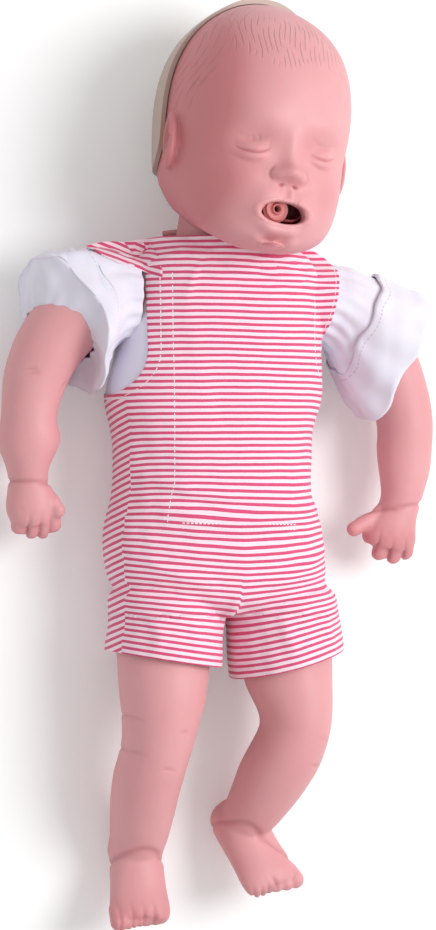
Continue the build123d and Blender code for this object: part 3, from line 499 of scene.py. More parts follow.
def strand_grooves(g, across, along, zone):
    """Separate engraved strands: each a short groove, started at its own place."""
    step = g.math("DIVIDE", g.attribute(across), STRAND_PITCH)
    number = g.math("FLOOR", step)
    offset = g.math("ABSOLUTE", g.math("SUBTRACT", g.math("FRACT", step), 0.5))
    line = g.math("SUBTRACT", 1.0, g.math("DIVIDE", offset, 0.15), clamp=True)
    random = g.nodes.new("ShaderNodeTexWhiteNoise")
    random.noise_dimensions = "1D"
    g.link(number, random.inputs["W"])
    shifted = g.math("ADD", g.math("DIVIDE", g.attribute(along), STRAND_LENGTH), random.outputs["Value"])
    share = g.math("ABSOLUTE", g.math("SUBTRACT", g.math("FRACT", shifted), 0.5))
    ends = g.math("MULTIPLY", g.math("SUBTRACT", 0.43, share), 7.0, clamp=True)
    return g.math("MULTIPLY", g.math("MULTIPLY", line, ends), g.attribute(zone))


def head_material():
    g, grain = skin_graph("head skin")
    front = strand_grooves(g, "strand", "along", "hair")
    temple = strand_grooves(g, "temple_strand", "temple_along", "temple_hair")
    depth = g.math("SUBTRACT", 1.0, g.math("MAXIMUM", front, temple))
    g.bump(depth, 0.0007, 0.75, under=grain)
    return g.material


def plain_plastic(name, colour, roughness):
    """Moulded plastic or metal, a little darker in soft patches."""
    g = Graph(name)
    shade = tuple(0.8 * c for c in colour[:3]) + (1.0,)
    g.set(Base_Color=g.mix(g.math("MULTIPLY", g.noise(30.0), 0.35), colour, shade))
    g.set(Roughness=roughness)
    g.bump(g.noise(700.0, 2.0), 0.0001, 0.3)
    return g.material


def insert_material():
    g = Graph("mouth lining")
    rings = g.nodes.new("ShaderNodeTexWave")
    rings.wave_type = "RINGS"
    rings.rings_direction = "SPHERICAL"
    rings.inputs["Scale"].default_value = 0.16
    rings.inputs["Distortion"].default_value = 0.4
    centre = g.nodes.new("ShaderNodeCombineXYZ")
    g.link(g.attribute("ring"), centre.inputs[0])
    g.link(centre.outputs[0], rings.inputs["Vector"])
    salmon = g.mix(g.math("MULTIPLY", rings.outputs["Fac"], 0.55), *map(srgb, SALMON))
    # Painted shade: the lining away from the ringed disc, and the bore, turn dark red
    g.set(Base_Color=g.mix(g.attribute("dark"), salmon, srgb(SALMON_SHADE)))
    g.set(Roughness=0.45)
    g.bump(rings.outputs["Fac"], 0.0006, 0.5)
    return g.material


def dashed_line(g, line, along, width):
    """One where a row of stitches runs, from a signed distance and a length, both in mm."""
    near = g.math("LESS_THAN", g.math("ABSOLUTE", g.attribute(line)), width)
    step = g.math("FRACT", g.math("DIVIDE", g.attribute(along), STITCH_LENGTH))
    return g.math("MULTIPLY", near, g.math("LESS_THAN", step, 0.62))


def stripe_material():
    """Woven stripes and white stitching, laid out by the mesh's own lengths in mm."""
    g = Graph("striped cloth")
    wobble = g.math("MULTIPLY", g.noise(60.0, 2.0), 0.12)
    front = g.math("ADD", g.math("DIVIDE", g.attribute("weave"), STRIPE_PITCH), wobble)
    side = g.math("ADD", g.math("DIVIDE", g.attribute("weave_side"), STRIPE_PITCH), wobble)
    on_side = g.math("GREATER_THAN", g.attribute("side_panel"), 0.0)
    kept = g.math("MULTIPLY", front, g.math("SUBTRACT", 1.0, on_side))
    phase = g.math("FRACT", g.math("ADD", kept, g.math("MULTIPLY", side, on_side)))
    pink = g.math("LESS_THAN", phase, PINK_SHARE)
    pale = g.mix(g.noise(500.0, 2.0), *map(srgb, STRIPE_PALE))
    rose = g.mix(g.noise(500.0, 2.0), *map(srgb, STRIPE_ROSE))
    stitched = dashed_line(g, "stitch_a", "weave", 0.35)
    stitched = g.math("MAXIMUM", stitched, dashed_line(g, "stitch_b", "weave", 0.3))
    stitched = g.math("MAXIMUM", stitched, dashed_line(g, "stitch_c", "across", 0.35))
    g.set(Base_Color=g.mix(stitched, g.mix(pink, pale, rose), srgb(STRIPE_STITCH)))
    g.set(Roughness=0.85, Sheen_Weight=0.25, Specular_IOR_Level=0.2)
    thread = g.bump(g.noise(1500.0, 2.0), 0.00015, 0.5)
    g.bump(stitched, 0.0004, 0.6, under=thread)
    return g.material


def shirt_material():
    g = Graph("white cotton")
    cloth = g.mix(g.noise(40.0, 3.0), *map(srgb, COTTON))
    stitched = dashed_line(g, "stitch_a", "across", 0.3)
    g.set(Base_Color=g.mix(stitched, cloth, srgb(COTTON_STITCH)))
    g.set(Roughness=0.9, Sheen_Weight=0.15, Specular_IOR_Level=0.2)
    g.set(Subsurface_Weight=0.1, Subsurface_Scale=0.002)
    g.bump(g.noise(1300.0, 2.0), 0.00012, 0.45)
    return g.material


# Head

def skull_turn():
    """The skull's axes as the columns of a matrix."""
    lean = Matrix.Rotation(radians(-HEAD_LEAN), 3, "Z")
    return np.array(lean @ Matrix.Rotation(radians(HEAD_TURN), 3, "Y"))


def to_skull(points):
    return (points - np.array(NECK_PIVOT)) @ skull_turn() - np.array((0.0, SKULL_Y, SKULL_Z))


def to_world(points):
    return (points + np.array((0.0, SKULL_Y, SKULL_Z))) @ skull_turn().T + np.array(NECK_PIVOT)


def refine_face(obj, half_width, low, high):
    """Finer faces on the front of the head, between two heights of the skull."""
    x, y, z = to_skull(points_of(obj)).T
    refine(obj, (np.abs(x) < half_width) & (y > low) & (y < high) & (z > 25))


def settle_face(obj):
    """Lets the eyes, mouth and chin sit lower and presses the ears flat."""
    world = points_of(obj)
    x, y, z = to_skull(world).T
    knots, drops = zip(*FACE_DROPS)
    drop_y = hermite(np.clip(y, knots[0], knots[-1]), knots, drops) + EYE_SLANT * x * hill(y + 14, 14)
    flatten = -0.55 * np.maximum(np.abs(x) - EAR_ROOT, 0) * np.where(x > 0, 1, 0.25)
    back_z = -SEAM_CLOSE * ramp(-z, 3, 9) * ramp(y, -50, -40)
    shift = np.column_stack((np.sign(x) * flatten, drop_y * ramp(z, 8, 28), back_z))
    move_points(obj, world + shift @ skull_turn().T)


def even_chin(obj):
    """Evens out the ridge that the lowered chin leaves under the lower lip."""
    before = points_of(obj)
    smooth(obj, 150)
    x, y, z = to_skull(before).T
    share = np.clip(1.8 * hill(y - CHIN_Y, 8) * hill(x, 17) * ramp(z, 16, 26), 0, 1)
    move_points(obj, before + share[:, None] * (points_of(obj) - before))


def eye_relief(x, y):
    """Closed lids with a groove between them, and the folds over and under: height and shade."""
    off_eye = np.abs(x) - EYE_X
    across = np.clip(1 - (off_eye / (1.15 * EYE_HALF)) ** 2, 0, 1) ** 1.6
    wide = np.clip(1 - (off_eye / (1.6 * EYE_HALF)) ** 2, 0, 1) ** 1.6
    away = y - (EYE_Y + EYE_SLANT * x - 2.4 * (1 - (off_eye / EYE_HALF) ** 2))
    lids = 1.7 * hill(away - 3.8, 3.6) * across + 0.9 * hill(away + 3.2, 2.4) * across
    groove = hill(away, 0.8) * np.sqrt(across)
    under = hill(away + 6.0, 1.5) * wide
    over = hill(away - 8.6, 1.7) * wide
    return lids - 1.2 * groove - 0.55 * under - 0.5 * over, 0.5 * groove + 0.12 * under + 0.1 * over


def nose_relief(x, y):
    ax = np.abs(x)
    bridge = hill(x, 5.0) * ramp(y, -34, -16) * ramp(-y, -4, 12)
    tip = hill(np.hypot(x, 1.15 * (y - NOSE_Y)), 6.5)
    wings = hill(np.hypot(ax - 8.0, 1.2 * (y - NOSE_Y + 1)), 3.4)
    round_wing = np.hypot(ax - 7.0, 1.2 * (y - NOSE_Y))
    crease = hill(round_wing - 6.4, 1.1) * ramp(ax, 9.5, 12) * ramp(y, -41, -36)
    nostril = hill(np.hypot((ax - 4.6) / 1.7, (y - NOSE_Y + 5.9 + 0.12 * ax) / 0.8), 1.0)
    amount = 0.8 * bridge + 1.0 * tip + 0.9 * wings - 0.8 * crease - 1.9 * nostril
    return amount, 0.25 * crease + 0.8 * nostril


def mouth_relief(x, y):
    under_nose = hill(y - PHILTRUM_Y, 3.2)
    philtrum = hill(x, 1.6) * under_nose
    lip = np.hypot(x / (MOUTH_WIDTH / 2), (y - LIP_Y) / (MOUTH_HEIGHT / 2))
    amount = 0.45 * hill(np.abs(x) - 3.2, 1.5) * under_nose - 0.7 * philtrum
    amount += 1.1 * hill((lip - 1.2) * 10, 1.5) - 0.5 * hill(y - LIP_Y + 14.5, 2.2) * hill(x, 9.0)
    return amount, 0.15 * philtrum + 0.22 * hill((lip - 1.02) * 10, 0.8)


def face_blush(x, y, front):
    """How flushed the skin is on the cheeks and nose, and painted shade in the eye sockets, down the right
    side and on the neck under the chin.
    """
    ax = np.abs(x)
    cheeks = 0.2 * hill(np.hypot(ax - 32, y + 42), 14) + 0.2 * hill(np.hypot(x, y + 33), 8)
    # Painted shade in the eye sockets
    sockets = 0.25 * hill(np.hypot(ax - 14, y + 14), 9)
    # Painted shade down the manikin's right side, away from the key light
    shaded_right_side = 0.9 * ramp(-x, 24, 56) + 0.25 * ramp(-x, 8, 40)
    # The last term is painted shade on the neck under the chin
    return np.clip((cheeks + sockets) * front + shaded_right_side + 0.5 * ramp(-y, 70, 92), 0, 1)


def shape_face(obj):
    settle_face(obj)
    even_chin(obj)
    refine_face(obj, 41, -72, 4)
    refine_face(obj, 37, -27, -12)
    x, y, z = to_skull(points_of(obj)).T
    front = ramp(z, 20, 30)
    reliefs = [relief(x, y) for relief in (eye_relief, nose_relief, mouth_relief)]
    push(obj, sum(height for height, _ in reliefs) * front)
    shade = sum(shade for _, shade in reliefs) * front
    shade = np.clip(shade + ear_hollow(obj, x, y, z), 0, 1)
    # The reliefs' and ears' shade is painted shade in the skin's colour
    set_attributes(obj, crease=shade, blush=face_blush(x, y, front))


def ear_hollow(obj, x, y, z):
    """Carves the fold inside each ear's rim, and says how deep its shade is."""
    round_ear = np.hypot((y - EAR_MIDDLE[0]) / EAR_SIZE[0], (z - EAR_MIDDLE[1]) / EAR_SIZE[1])
    on_ear = ramp(np.abs(x), EAR_ROOT - 1.5, EAR_ROOT + 0.5)
    hollow = hill(round_ear - 0.55, 0.2) * on_ear
    push(obj, -1.1 * hollow)
    return 0.45 * hollow


def comb_hair(obj):
    x, y, z = to_skull(points_of(obj)).T
    ax = np.abs(x)
    fringe = 36 + 3 * np.sin(x / 7.5)
    out = 0.39 * z - 0.92 * ax
    across = 0.914 * out - 0.404 * y
    temple = ramp(-across, 38, 41) * ramp(y, 0, 5) * ramp(z, -46, -40)
    set_attributes(
        obj,
        hair=ramp(y, fringe - 2, fringe + 2) * (1 - ramp(ax, 34, 44)) * ramp(-y, -70, -62),
        strand=1.12 * x + 3.0 * np.sin(y / 6.0 + 0.06 * x) + 0.012 * x * y,
        along=y - 0.3 * ax,
        temple_hair=temple * ramp(ax, 18, 26),
        temple_strand=1.3 * across + 2.4 * np.sin(y / 8),
        temple_along=0.404 * out + 0.914 * y,
    )


def thin_inside(obj, share):
    """Fewer faces on the inside of the head's skin, where nothing is seen."""
    radial = to_skull(points_of(obj))
    facing = np.sum((normals_of(obj) @ skull_turn()) * radial, axis=1) / np.linalg.norm(radial, axis=1)
    off_mouth = np.hypot(radial[:, 0], radial[:, 1] - MOUTH_Y) > MOUTH_WIDTH / 2 + 5
    chosen = np.flatnonzero((facing < -0.4) & off_mouth)
    obj.vertex_groups.new(name="inside").add([int(i) for i in chosen], 1.0, "REPLACE")
    apply_modifier(obj, "DECIMATE", ratio=share, vertex_group="inside")
    obj.vertex_groups.clear()


def build_head(material):
    head = sculpt("head_skin", "face_skin", HEAD_VOXEL)
    thin_inside(head, INSIDE_SHARE)
    shape_face(head)
    comb_hair(head)
    dress(head, material)
    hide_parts("face_skin")
    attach(head, "head")


def airway_end():
    """The salmon end of the airway just inside the lips: rings round a small bore."""
    angles = turn_angles(72)
    rings = []
    for r in np.linspace(AIRWAY_HOLE, AIRWAY_DISC, 34):
        x = AIRWAY_X + r * np.cos(angles)
        y = AIRWAY_Y + r * np.sin(angles)
        share = np.hypot(x / (MOUTH_WIDTH / 2 + 1.0), (y - LIP_Y) / (MOUTH_HEIGHT / 2 + 1.2))
        shrink = np.maximum(share, 1.0)
        z = AIRWAY_Z + 0.8 * sin(1.5 * (r - AIRWAY_HOLE)) - 0.03 * r * r
        z = np.full(len(x), z - 5.0 * ramp(AIRWAY_HOLE + 0.9 - r, 0, 0.9))
        rings.append(np.column_stack((x / shrink, LIP_Y + (y - LIP_Y) / shrink, z)))
    return [to_world(ring) for ring in rings]


def build_mouth(material):
    """The mouth's lining with the airway's ringed end brought up to the lips."""
    cup = sculpt("mouth_cup", "mouth_insert", MOUTH_VOXEL)
    disc = tube_object("airway_end", airway_end(), False)
    lining = join("mouth_lining", [cup, disc])
    p = to_skull(points_of(lining))
    ring = np.hypot(p[:, 0] - AIRWAY_X, p[:, 1] - AIRWAY_Y)
    on_disc = ramp(p[:, 2], AIRWAY_Z - 8, AIRWAY_Z - 5) * ramp(-ring, -AIRWAY_DISC - 0.5, -AIRWAY_DISC + 0.2)
    bore = ramp(-ring, -AIRWAY_HOLE - 0.6, -AIRWAY_HOLE)
    # Painted shade on the lining round the disc and down the bore
    set_attributes(lining, ring=ring, dark=np.maximum(1 - on_disc, bore))
    dress(lining, material)
    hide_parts("mouth_insert")
    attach(lining, "head")


# Limbs

def ring_groove(points, middle, direction, width):
    """A crease round a limb, where it crosses a plane."""
    direction = np.array(direction, float)
    direction /= np.linalg.norm(direction)
    return hill((points - np.array(middle)) @ direction, width)


def short_groove(points, start, end, width, low_z=30):
    """A short crease between two points of the front view, fading at its ends."""
    a, b = np.array(start, float), np.array(end, float)
    along = b - a
    length = np.linalg.norm(along)
    along /= length
    offset = points[:, :2] - a
    t = offset @ along / length
    away = np.abs(offset @ np.array((-along[1], along[0])) - 1.6 * (t - t * t) * 4 * 0.4)
    return hill(away, width) * hill(t - 0.5, 0.42) * ramp(points[:, 2], low_z, low_z + 12)


# Rings, folds, gaps between fingers or toes, and knuckles, on each arm and leg
RINGS = {
    "arm": {RIGHT: [((-126.5, -27, 36), (0.05, 1, 0))], LEFT: [((126.5, -43.5, 36), (-0.12, 1, 0))]},
    "leg": {RIGHT: [((-51.5, -277, 22), (0.05, 0.9, -0.45))], LEFT: [((17, -262, 22), (0.5, 0.8, -0.35))]},
}
FOLDS = {
    "arm": {
        RIGHT: [((-134, 45), (-125, 44)), ((-132, 42), (-124, 41.5)), ((-110, 30), (-103, 38))],
        LEFT: [((103, 27), (112, 25)), ((112, -45), (121, -47))],
    },
    "leg": {
        RIGHT: [((-51, -209), (-40, -211)), ((-40, -185.5), (-31, -187)), ((-74, -175), (-62, -178)),
                ((-74, -197), (-61, -200))],
        LEFT: [((55, -193), (64, -195)), ((51, -210), (61, -213))],
    },
}
GAPS = {
    "arm": {
        RIGHT: [((-128, -48), (-129, -68)), ((-120.5, -49), (-120.5, -70)), ((-113.5, -48), (-112.5, -66))],
        LEFT: [((110, -62), (106, -82)), ((118.5, -66), (118, -88)), ((127.5, -66), (129.5, -88))],
    },
    "leg": {
        RIGHT: [((-70, -300), (-70, -318)), ((-62, -301), (-61.5, -320)), ((-54.5, -301), (-54, -320)),
                ((-47.5, -299), (-46.5, -319))],
        LEFT: [((20, -292), (22.5, -308)), ((25, -290), (28, -305)), ((29, -288), (33, -301)),
               ((32.5, -284), (38, -295))],
    },
}
KNUCKLES = {
    "arm": {
        RIGHT: [(-133, -44), (-126, -46), (-119, -46), (-112, -43)],
        LEFT: [(107, -57), (115, -61), (124, -62), (131, -60)],
    },
    "leg": {RIGHT: [], LEFT: []},
}
# Voxel size, rounds of smoothing, width of folds, depth and floor of gaps, and where the tips flush
LIMB_LOOK = {"arm": (1.3, 8, 0.9, 1.1, 22, (48, 66)), "leg": (1.4, 5, 1.1, 1.2, 34, (285, 310))}


def build_limb(kind, side, material):
    """An arm or a leg with its creases, in the places that the front view shows."""
    name = f"{kind}_{SIDE_NAME[side]}"
    voxel, rounds, fold_width, gap_depth, gap_floor, tips = LIMB_LOOK[kind]
    limb = sculpt(f"{name}_skin", name, voxel, rounds)
    p = points_of(limb)
    crease = np.zeros(len(p))
    for middle, direction in RINGS[kind][side]:
        crease += ring_groove(p, middle, direction, 1.5)
    for start, end in FOLDS[kind][side]:
        crease += 0.6 * short_groove(p, start, end, fold_width)
    for start, end in GAPS[kind][side]:
        crease += gap_depth * short_groove(p, start, end, fold_width, gap_floor)
    for x, y in KNUCKLES[kind][side]:
        crease += 0.2 * hill(np.hypot(p[:, 0] - x, p[:, 1] - y), 1.3) * ramp(p[:, 2], 36, 42)
    crease = np.clip(crease, 0, 1)
    push(limb, -1.4 * crease + 0.15 * ripple(p, 24, 5))
    # Painted shade in the folds, gaps and round the knuckles; the finger and toe tips are flushed
    set_attributes(limb, crease=0.32 * crease, blush=0.35 * ramp(-p[:, 1], *tips))
    dress(limb, material)
    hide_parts(name)
    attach(limb, name)


# Trunk shape, as in the part

def trunk_stations():
    """(y, half width, half depth, height of the middle) of the romper, from crotch to neck."""
    chest, belly = CHEST_DEPTH / 2, BELLY_DEPTH / 2
    hip, waist, wide = HIP_HALF_WIDTH, WAIST_HALF_WIDTH, CHEST_HALF_WIDTH
    low, high = belly - BACK_SINK, chest - BACK_SINK
    return [
        (CROTCH_Y, 0.46 * hip, 0.55 * belly, TRUNK_MID_Z),
        (CROTCH_Y + 6, 0.74 * hip, 0.76 * belly, TRUNK_MID_Z),
        (CROTCH_Y + 18, 0.95 * hip, 0.92 * belly, TRUNK_MID_Z - 1),
        (CROTCH_Y + 34, hip, 0.99 * belly, low),
        (-58.0, hip - 1, belly, low),
        (-38.0, waist + 2, belly, low),
        (-16.0, waist, belly, low),
        (6.0, waist + 1.5, belly - 0.5, low - 0.5),
        (28.0, wide, chest, high),
        (50.0, wide - 2, chest, high),
        (70.0, wide - 4.5, chest, high),
        (SHOULDER_Y - 36, wide - 5.5, chest - 0.5, high),
        (SHOULDER_Y - 21, wide - 7.5, chest - 2.5, high + 1.5),
        (SHOULDER_Y - 10, wide - 12, chest - 5, high + 4),
        (SHOULDER_Y - 3, wide - 20, chest - 10, high + 7),
        (SHOULDER_Y, wide - 28, chest - 18, high + 8),
    ]


def side_bow(y):
    """How far the trunk bows to the manikin's right at height y."""
    return -WAIST_BOW * np.exp(-(((y - BOW_Y) / BOW_REACH) ** 4))


def trunk_rings(inset, low_y, high_y, rings, around):
    """Level rings of points on the trunk's surface, moved inwards by inset."""
    knots, widths, depths, middles = zip(*trunk_stations())
    angles = turn_angles(around)
    s, c = np.sin(angles), np.cos(angles)
    power = 2 / TRUNK_SQUARENESS
    out = []
    for y in np.linspace(low_y, high_y, rings):
        half_width = hermite(y, knots, widths) - inset
        half_depth = hermite(y, knots, depths) - inset
        x = side_bow(y) + half_width * np.sign(s) * np.abs(s) ** power
        z = hermite(y, knots, middles) + half_depth * np.sign(c) * np.abs(c) ** power
        out.append(np.column_stack((x, np.full(around, y), np.maximum(z, inset))))
    return out


def tube_object(name, rings, closed):
    """A tube through rings with the same number of points, its ends closed if asked."""
    count = len(rings[0])
    vertices = [tuple(p) for ring in rings for p in ring]
    faces = []
    for i in range(len(rings) - 1):
        for k in range(count):
            j = (k + 1) % count
            faces.append((i * count + k, i * count + j, (i + 1) * count + j, (i + 1) * count + k))
    if closed:
        faces.append(tuple(range(count))[::-1])
        faces.append(tuple(range(len(vertices) - count, len(vertices))))
    return new_object(name, vertices, faces)


def join(name, objects):
    bm = bmesh.new()
    for obj in objects:
        bm.from_mesh(obj.data)
        drop(obj)
    mesh = bpy.data.meshes.new(name)
    bmesh.ops.recalc_face_normals(bm, faces=bm.faces)
    bm.to_mesh(mesh)
    bm.free()
    return link_object(name, mesh)


# Romper

LEG_TOP = (38.0, -92.0)
LEG_HEM = {RIGHT: (39.5, -141.0), LEFT: (44.0, -145.0)}
LEG_HEM_LEAN = {RIGHT: 9.0, LEFT: 15.0}
LEG_SPLIT_Y = -112.0


def hem_direction(side):
    lean = radians(LEG_HEM_LEAN[side])
    return np.array((side * sin(lean), -cos(lean), 0.0))


def hem_distance(points, side):
    """How far points are beyond a leg's hem, negative before it."""
    x, y = LEG_HEM[side]
    return (points - np.array((side * x, y, 0.0))) @ hem_direction(side)


def leg_rings(side, overrun):
    """Rings of a romper leg, from inside the hip to past its hem."""
    (top_x, top_y), (hem_x, hem_y) = LEG_TOP, LEG_HEM[side]
    rings = []
    angles = turn_angles(96)
    for share in np.linspace(0.0, 1.0 + overrun, 22):
        lean = radians(min(share, 1.1) * LEG_HEM_LEAN[side])
        across = np.array((side * cos(lean), sin(lean), 0.0))
        x = side * (top_x + share * (hem_x - top_x))
        middle = np.array((x, top_y + share * (hem_y - top_y), TRUNK_MID_Z))
        swell = 1.0 + 1.5 * ramp(share, 0.5, 1.0) - 7.0 * (1 - ramp(share, 0.0, 0.22))
        a = LEG_CLOTH_HALF_WIDTH + swell
        b = LEG_CLOTH_HALF_DEPTH + swell
        rings.append(middle + np.outer(np.cos(angles), a * across) + np.outer(np.sin(angles), (0, 0, b)))
    return rings


def armhole_edge(y, side):
    """Half width of the romper's front where the armhole cuts it."""
    t = np.clip((ARMHOLE_TOP - y) / (ARMHOLE_TOP - ARMHOLE_BOTTOM), 0, 1.2)
    return ARMHOLE_X[side] + ARMHOLE_FLARE * t**3.2


def armhole_field(points, side):
    """Positive in the armhole, in millimetres near its edge."""
    return side * points[:, 0] - armhole_edge(points[:, 1], side)


def neck_frame_points(points):
    turn = np.array(Matrix.Rotation(radians(-HEAD_LEAN), 3, "Z"))
    return (points - np.array(NECK_PIVOT)) @ turn


def neckline_field(points, radius, low_y):
    q = neck_frame_points(points)
    return np.minimum(radius - np.hypot(q[:, 0], q[:, 2]), q[:, 1] - low_y)


def fold(points, path, height, width):
    best = np.full(len(points), 1e9)
    share = np.zeros(len(points))
    total = len(path) - 1
    for i in range(total):
        a, b = np.array(path[i], float), np.array(path[i + 1], float)
        along = b - a
        t = np.clip((points[:, :2] - a) @ along / (along @ along), 0, 1)
        away = np.linalg.norm(points[:, :2] - a - t[:, None] * along, axis=1)
        nearer = away < best
        best = np.where(nearer, away, best)
        share = np.where(nearer, (i + t) / total, share)
    taper = np.sin(np.pi * np.clip(share, 0.04, 0.96)) ** 0.5
    return height * hill(best, width) * taper


ROMPER_FOLDS = [
    (((-22, 118), (-30, 106), (-34, 92)), 1.2, 3.0),
    (((8, 112), (26, 104), (44, 108)), 1.6, 3.2),
    (((14, 104), (34, 97), (54, 100)), -1.1, 2.6),
    (((20, 118), (36, 112), (50, 116)), 1.3, 2.6),
    (((-58, -24), (-30, -33), (0, -36)), 1.4, 3.5),
    (((-60, -32), (-20, -43), (30, -40), (62, -34)), -1.3, 3.0),
    (((-50, -50), (-12, -52), (30, -50), (60, -44)), 1.5, 3.2),
    (((-64, -58), (-30, -64), (10, -64), (58, -58)), -1.2, 3.0),
    (((-66, -74), (-44, -84), (-20, -92)), 1.6, 4.0),
    (((66, -70), (46, -82), (24, -92)), 1.6, 4.0),
    (((-64, -92), (-40, -100), (-14, -110)), -1.5, 3.5),
    (((66, -88), (44, -98), (18, -110)), -1.5, 3.5),
    (((-2, -98), (-4, -112), (-3, -122)), 1.6, 3.0),
    (((-58, -112), (-52, -124), (-56, -134)), 1.3, 4.0),
    (((-30, -114), (-28, -126), (-30, -136)), 1.2, 4.5),
    (((30, -114), (32, -126), (38, -138)), 1.4, 4.5),
    (((58, -108), (60, -122), (66, -134)), 1.2, 4.0),
    (((64, 20), (60, 0), (56, -20)), 1.4, 4.0),
    (((-70, 10), (-66, -10), (-68, -30)), 1.2, 4.0),
]


def romper_surface():
    """The outside of the romper as one thin surface, its openings cut."""
    trunk = tube_object("trunk", trunk_rings(0.0, CROTCH_Y, SHOULDER_Y, 120, 160), True)
    legs = [tube_object("leg", leg_rings(side, 0.35), True) for side in (LEFT, RIGHT)]
    cloth = join("romper_surface", [trunk, *legs])
    remesh(cloth, ROMPER_VOXEL)
    smooth(cloth, 4)
    cut_away(cloth, lambda p: neckline_field(p, ROMPER_NECK_RADIUS, ROMPER_NECK_Y))
    for side in (LEFT, RIGHT):
        cut_away(cloth, lambda p, side=side: armhole_field(p, side))
        cut_away(cloth, lambda p, side=side: np.where(side * p[:, 0] > 0, hem_distance(p, side), -1.0))
    return cloth


def romper_folds(p):
    amount = 0.5 * ripple(p, 38, 11) + 0.25 * ripple(p * (1.0, 0.5, 1.0), 13, 12)
    front = ramp(p[:, 2], 36, 58)
    for path, height, width in ROMPER_FOLDS:
        amount += 1.35 * fold(p, path, height, width) * front
    return amount


def drape_romper(cloth):
    p = points_of(cloth)
    push(cloth, romper_folds(p) * ramp(p[:, 2], 3, 8) + 0.3)


def weave_height(p):
    """Length along the front that counts off the stripes, bent a little as the cloth lies."""
    x, y, z = p.T
    tilt = radians(1.2)
    weave = y * cos(tilt) - x * sin(tilt) + 1.0 * np.sin(x / 34) + 0.5 * ripple(p, 60, 21)
    weave += 0.3 * romper_folds(p)
    weave += 5.0 * hill(y + 84, 34) * (1 - (x / 62) ** 2) + 1.6 * hill(y + 40, 14) * np.sin(x / 24)
    for side in (LEFT, RIGHT):
        on_leg = ramp(-y, -LEG_SPLIT_Y - 34, -LEG_SPLIT_Y + 22) * (side * x > 0)
        weave = weave * (1 - on_leg) - on_leg * (hem_distance(p, side) - LEG_HEM[side][1])
    return weave


def mark_romper(cloth):
    """Lengths that the striped material reads: weave, side panel and stitch lines."""
    p = points_of(cloth)
    x, y, z = p.T
    seam = -57.0 + 3.0 * np.sin((y + 40) / 40) - 2.5 * ramp(-y, 40, 110)
    panel = np.where(z < 66, seam - x, -1.0) * np.where(y < 26, 1.0, -1.0)
    slant = radians(SIDE_SLANT)
    edge = np.maximum(armhole_field(p, RIGHT), armhole_field(p, LEFT))
    front = x + 43 + 5 * ramp(-y, 20, 56)
    belt = np.abs(y + 55.0 + 0.02 * x) - 1.6
    set_attributes(
        cloth,
        across=x,
        weave=weave_height(p),
        weave_side=y * cos(slant) - (x + 0.45 * z) * sin(slant),
        side_panel=np.where(y < 26, panel, -np.abs(panel)),
        stitch_a=np.where(z > 40, edge + HEM_WIDTH, NO_STITCH),
        stitch_b=np.where((z > 60) & (y > -56), front, NO_STITCH),
        stitch_c=np.where((np.abs(x) < 40) & (z > 60), belt, NO_STITCH),
    )


def trunk_height(x, y):
    """Height of the romper's front over the floor, rolling over at the shoulders."""
    knots, widths, depths, middles = zip(*trunk_stations())
    inside = np.clip(y, CROTCH_Y, SHOULDER_Y - 3)
    share = np.abs(x - side_bow(inside)) / hermite(inside, knots, widths)
    rise = np.clip(1 - share**TRUNK_SQUARENESS, 0, 1) ** (1 / TRUNK_SQUARENESS)
    over = np.maximum(y - SHOULDER_Y + 3, 0)
    return hermite(inside, knots, middles) + hermite(inside, knots, depths) * rise - 0.9 * over


def sleeve_height(x, y, side):
    rings = SLEEVE_RINGS[side]
    xs = [m[0] for m, *_ in rings]
    reach = np.interp(side * x, xs, [a for *_, a, _ in rings])
    off_middle = y - np.interp(side * x, xs, [m[1] for m, *_ in rings])
    return TRUNK_MID_Z + reach * np.sqrt(1 - np.clip(np.abs(off_middle) / reach, 0, 1) ** 2)


def neck_height(x, y):
    share = np.clip(np.abs(x) / NECK_CLOTH_RADIUS, 0, 1)
    return np.where(y > NECK_PIVOT[1] - 20, NECK_PIVOT[2] + NECK_CLOTH_RADIUS * np.sqrt(1 - share**2), 0)


NECK_CLOTH_RADIUS = 37.0
YOKE = [
    ((-52, 107), (-68, 127)), ((-45, 102), (-45, 130.5)), ((-20, 100), (-20, 130)), ((5, 100), (5, 128)),
    ((33, 100), (33, 128)), ((49, 90), (52, 127)), ((56, 62), (66, 121)), ((60, 44), (75, 114)),
]
BACK_STRAP = [
    ((-48, 103), (-50, 127)), ((-62, 108), (-64, 127)), ((-76, 112), (-80, 127)), ((-88, 118), (-93, 124)),
]


def draped_panel(name, outline, lifts, grid):
    """A panel of cloth lying on the trunk and sleeves, between two lines of the front view."""
    columns, rows = grid
    lows = np.array([low for low, _ in outline], float)
    highs = np.array([high for _, high in outline], float)
    knots = np.linspace(0, 1, len(lows))
    share = np.linspace(0, 1, rows)[:, None]
    low_lift, high_lift = lifts
    lift = low_lift + (high_lift - low_lift) * ramp(share[:, 0], 0.0, 0.3)
    lines = []
    for t in np.linspace(0, 1, columns):
        low = np.array([hermite(np.array(t), knots, lows[:, k]) for k in range(2)])
        high = np.array([hermite(np.array(t), knots, highs[:, k]) for k in range(2)])
        flat = low + share * (high - low)
        x, y = flat.T
        z = np.maximum(trunk_height(x, y), neck_height(x, y))
        for side in (LEFT, RIGHT):
            z = np.maximum(z, sleeve_height(x, y, side) * (side * x > 55))
        lines.append(np.column_stack((flat, z + lift)))
    faces = []
    for i in range(columns - 1):
        for k in range(rows - 1):
            faces.append((i * rows + k, (i + 1) * rows + k, (i + 1) * rows + k + 1, i * rows + k + 1))
    panel = new_object(name, [tuple(p) for line in lines for p in line], faces)
    smooth(panel, 8)
    mark_romper(panel)
    plain = np.full(columns * rows, NO_STITCH)
    set_attributes(panel, stitch_a=plain, stitch_b=plain, stitch_c=plain)
    return panel


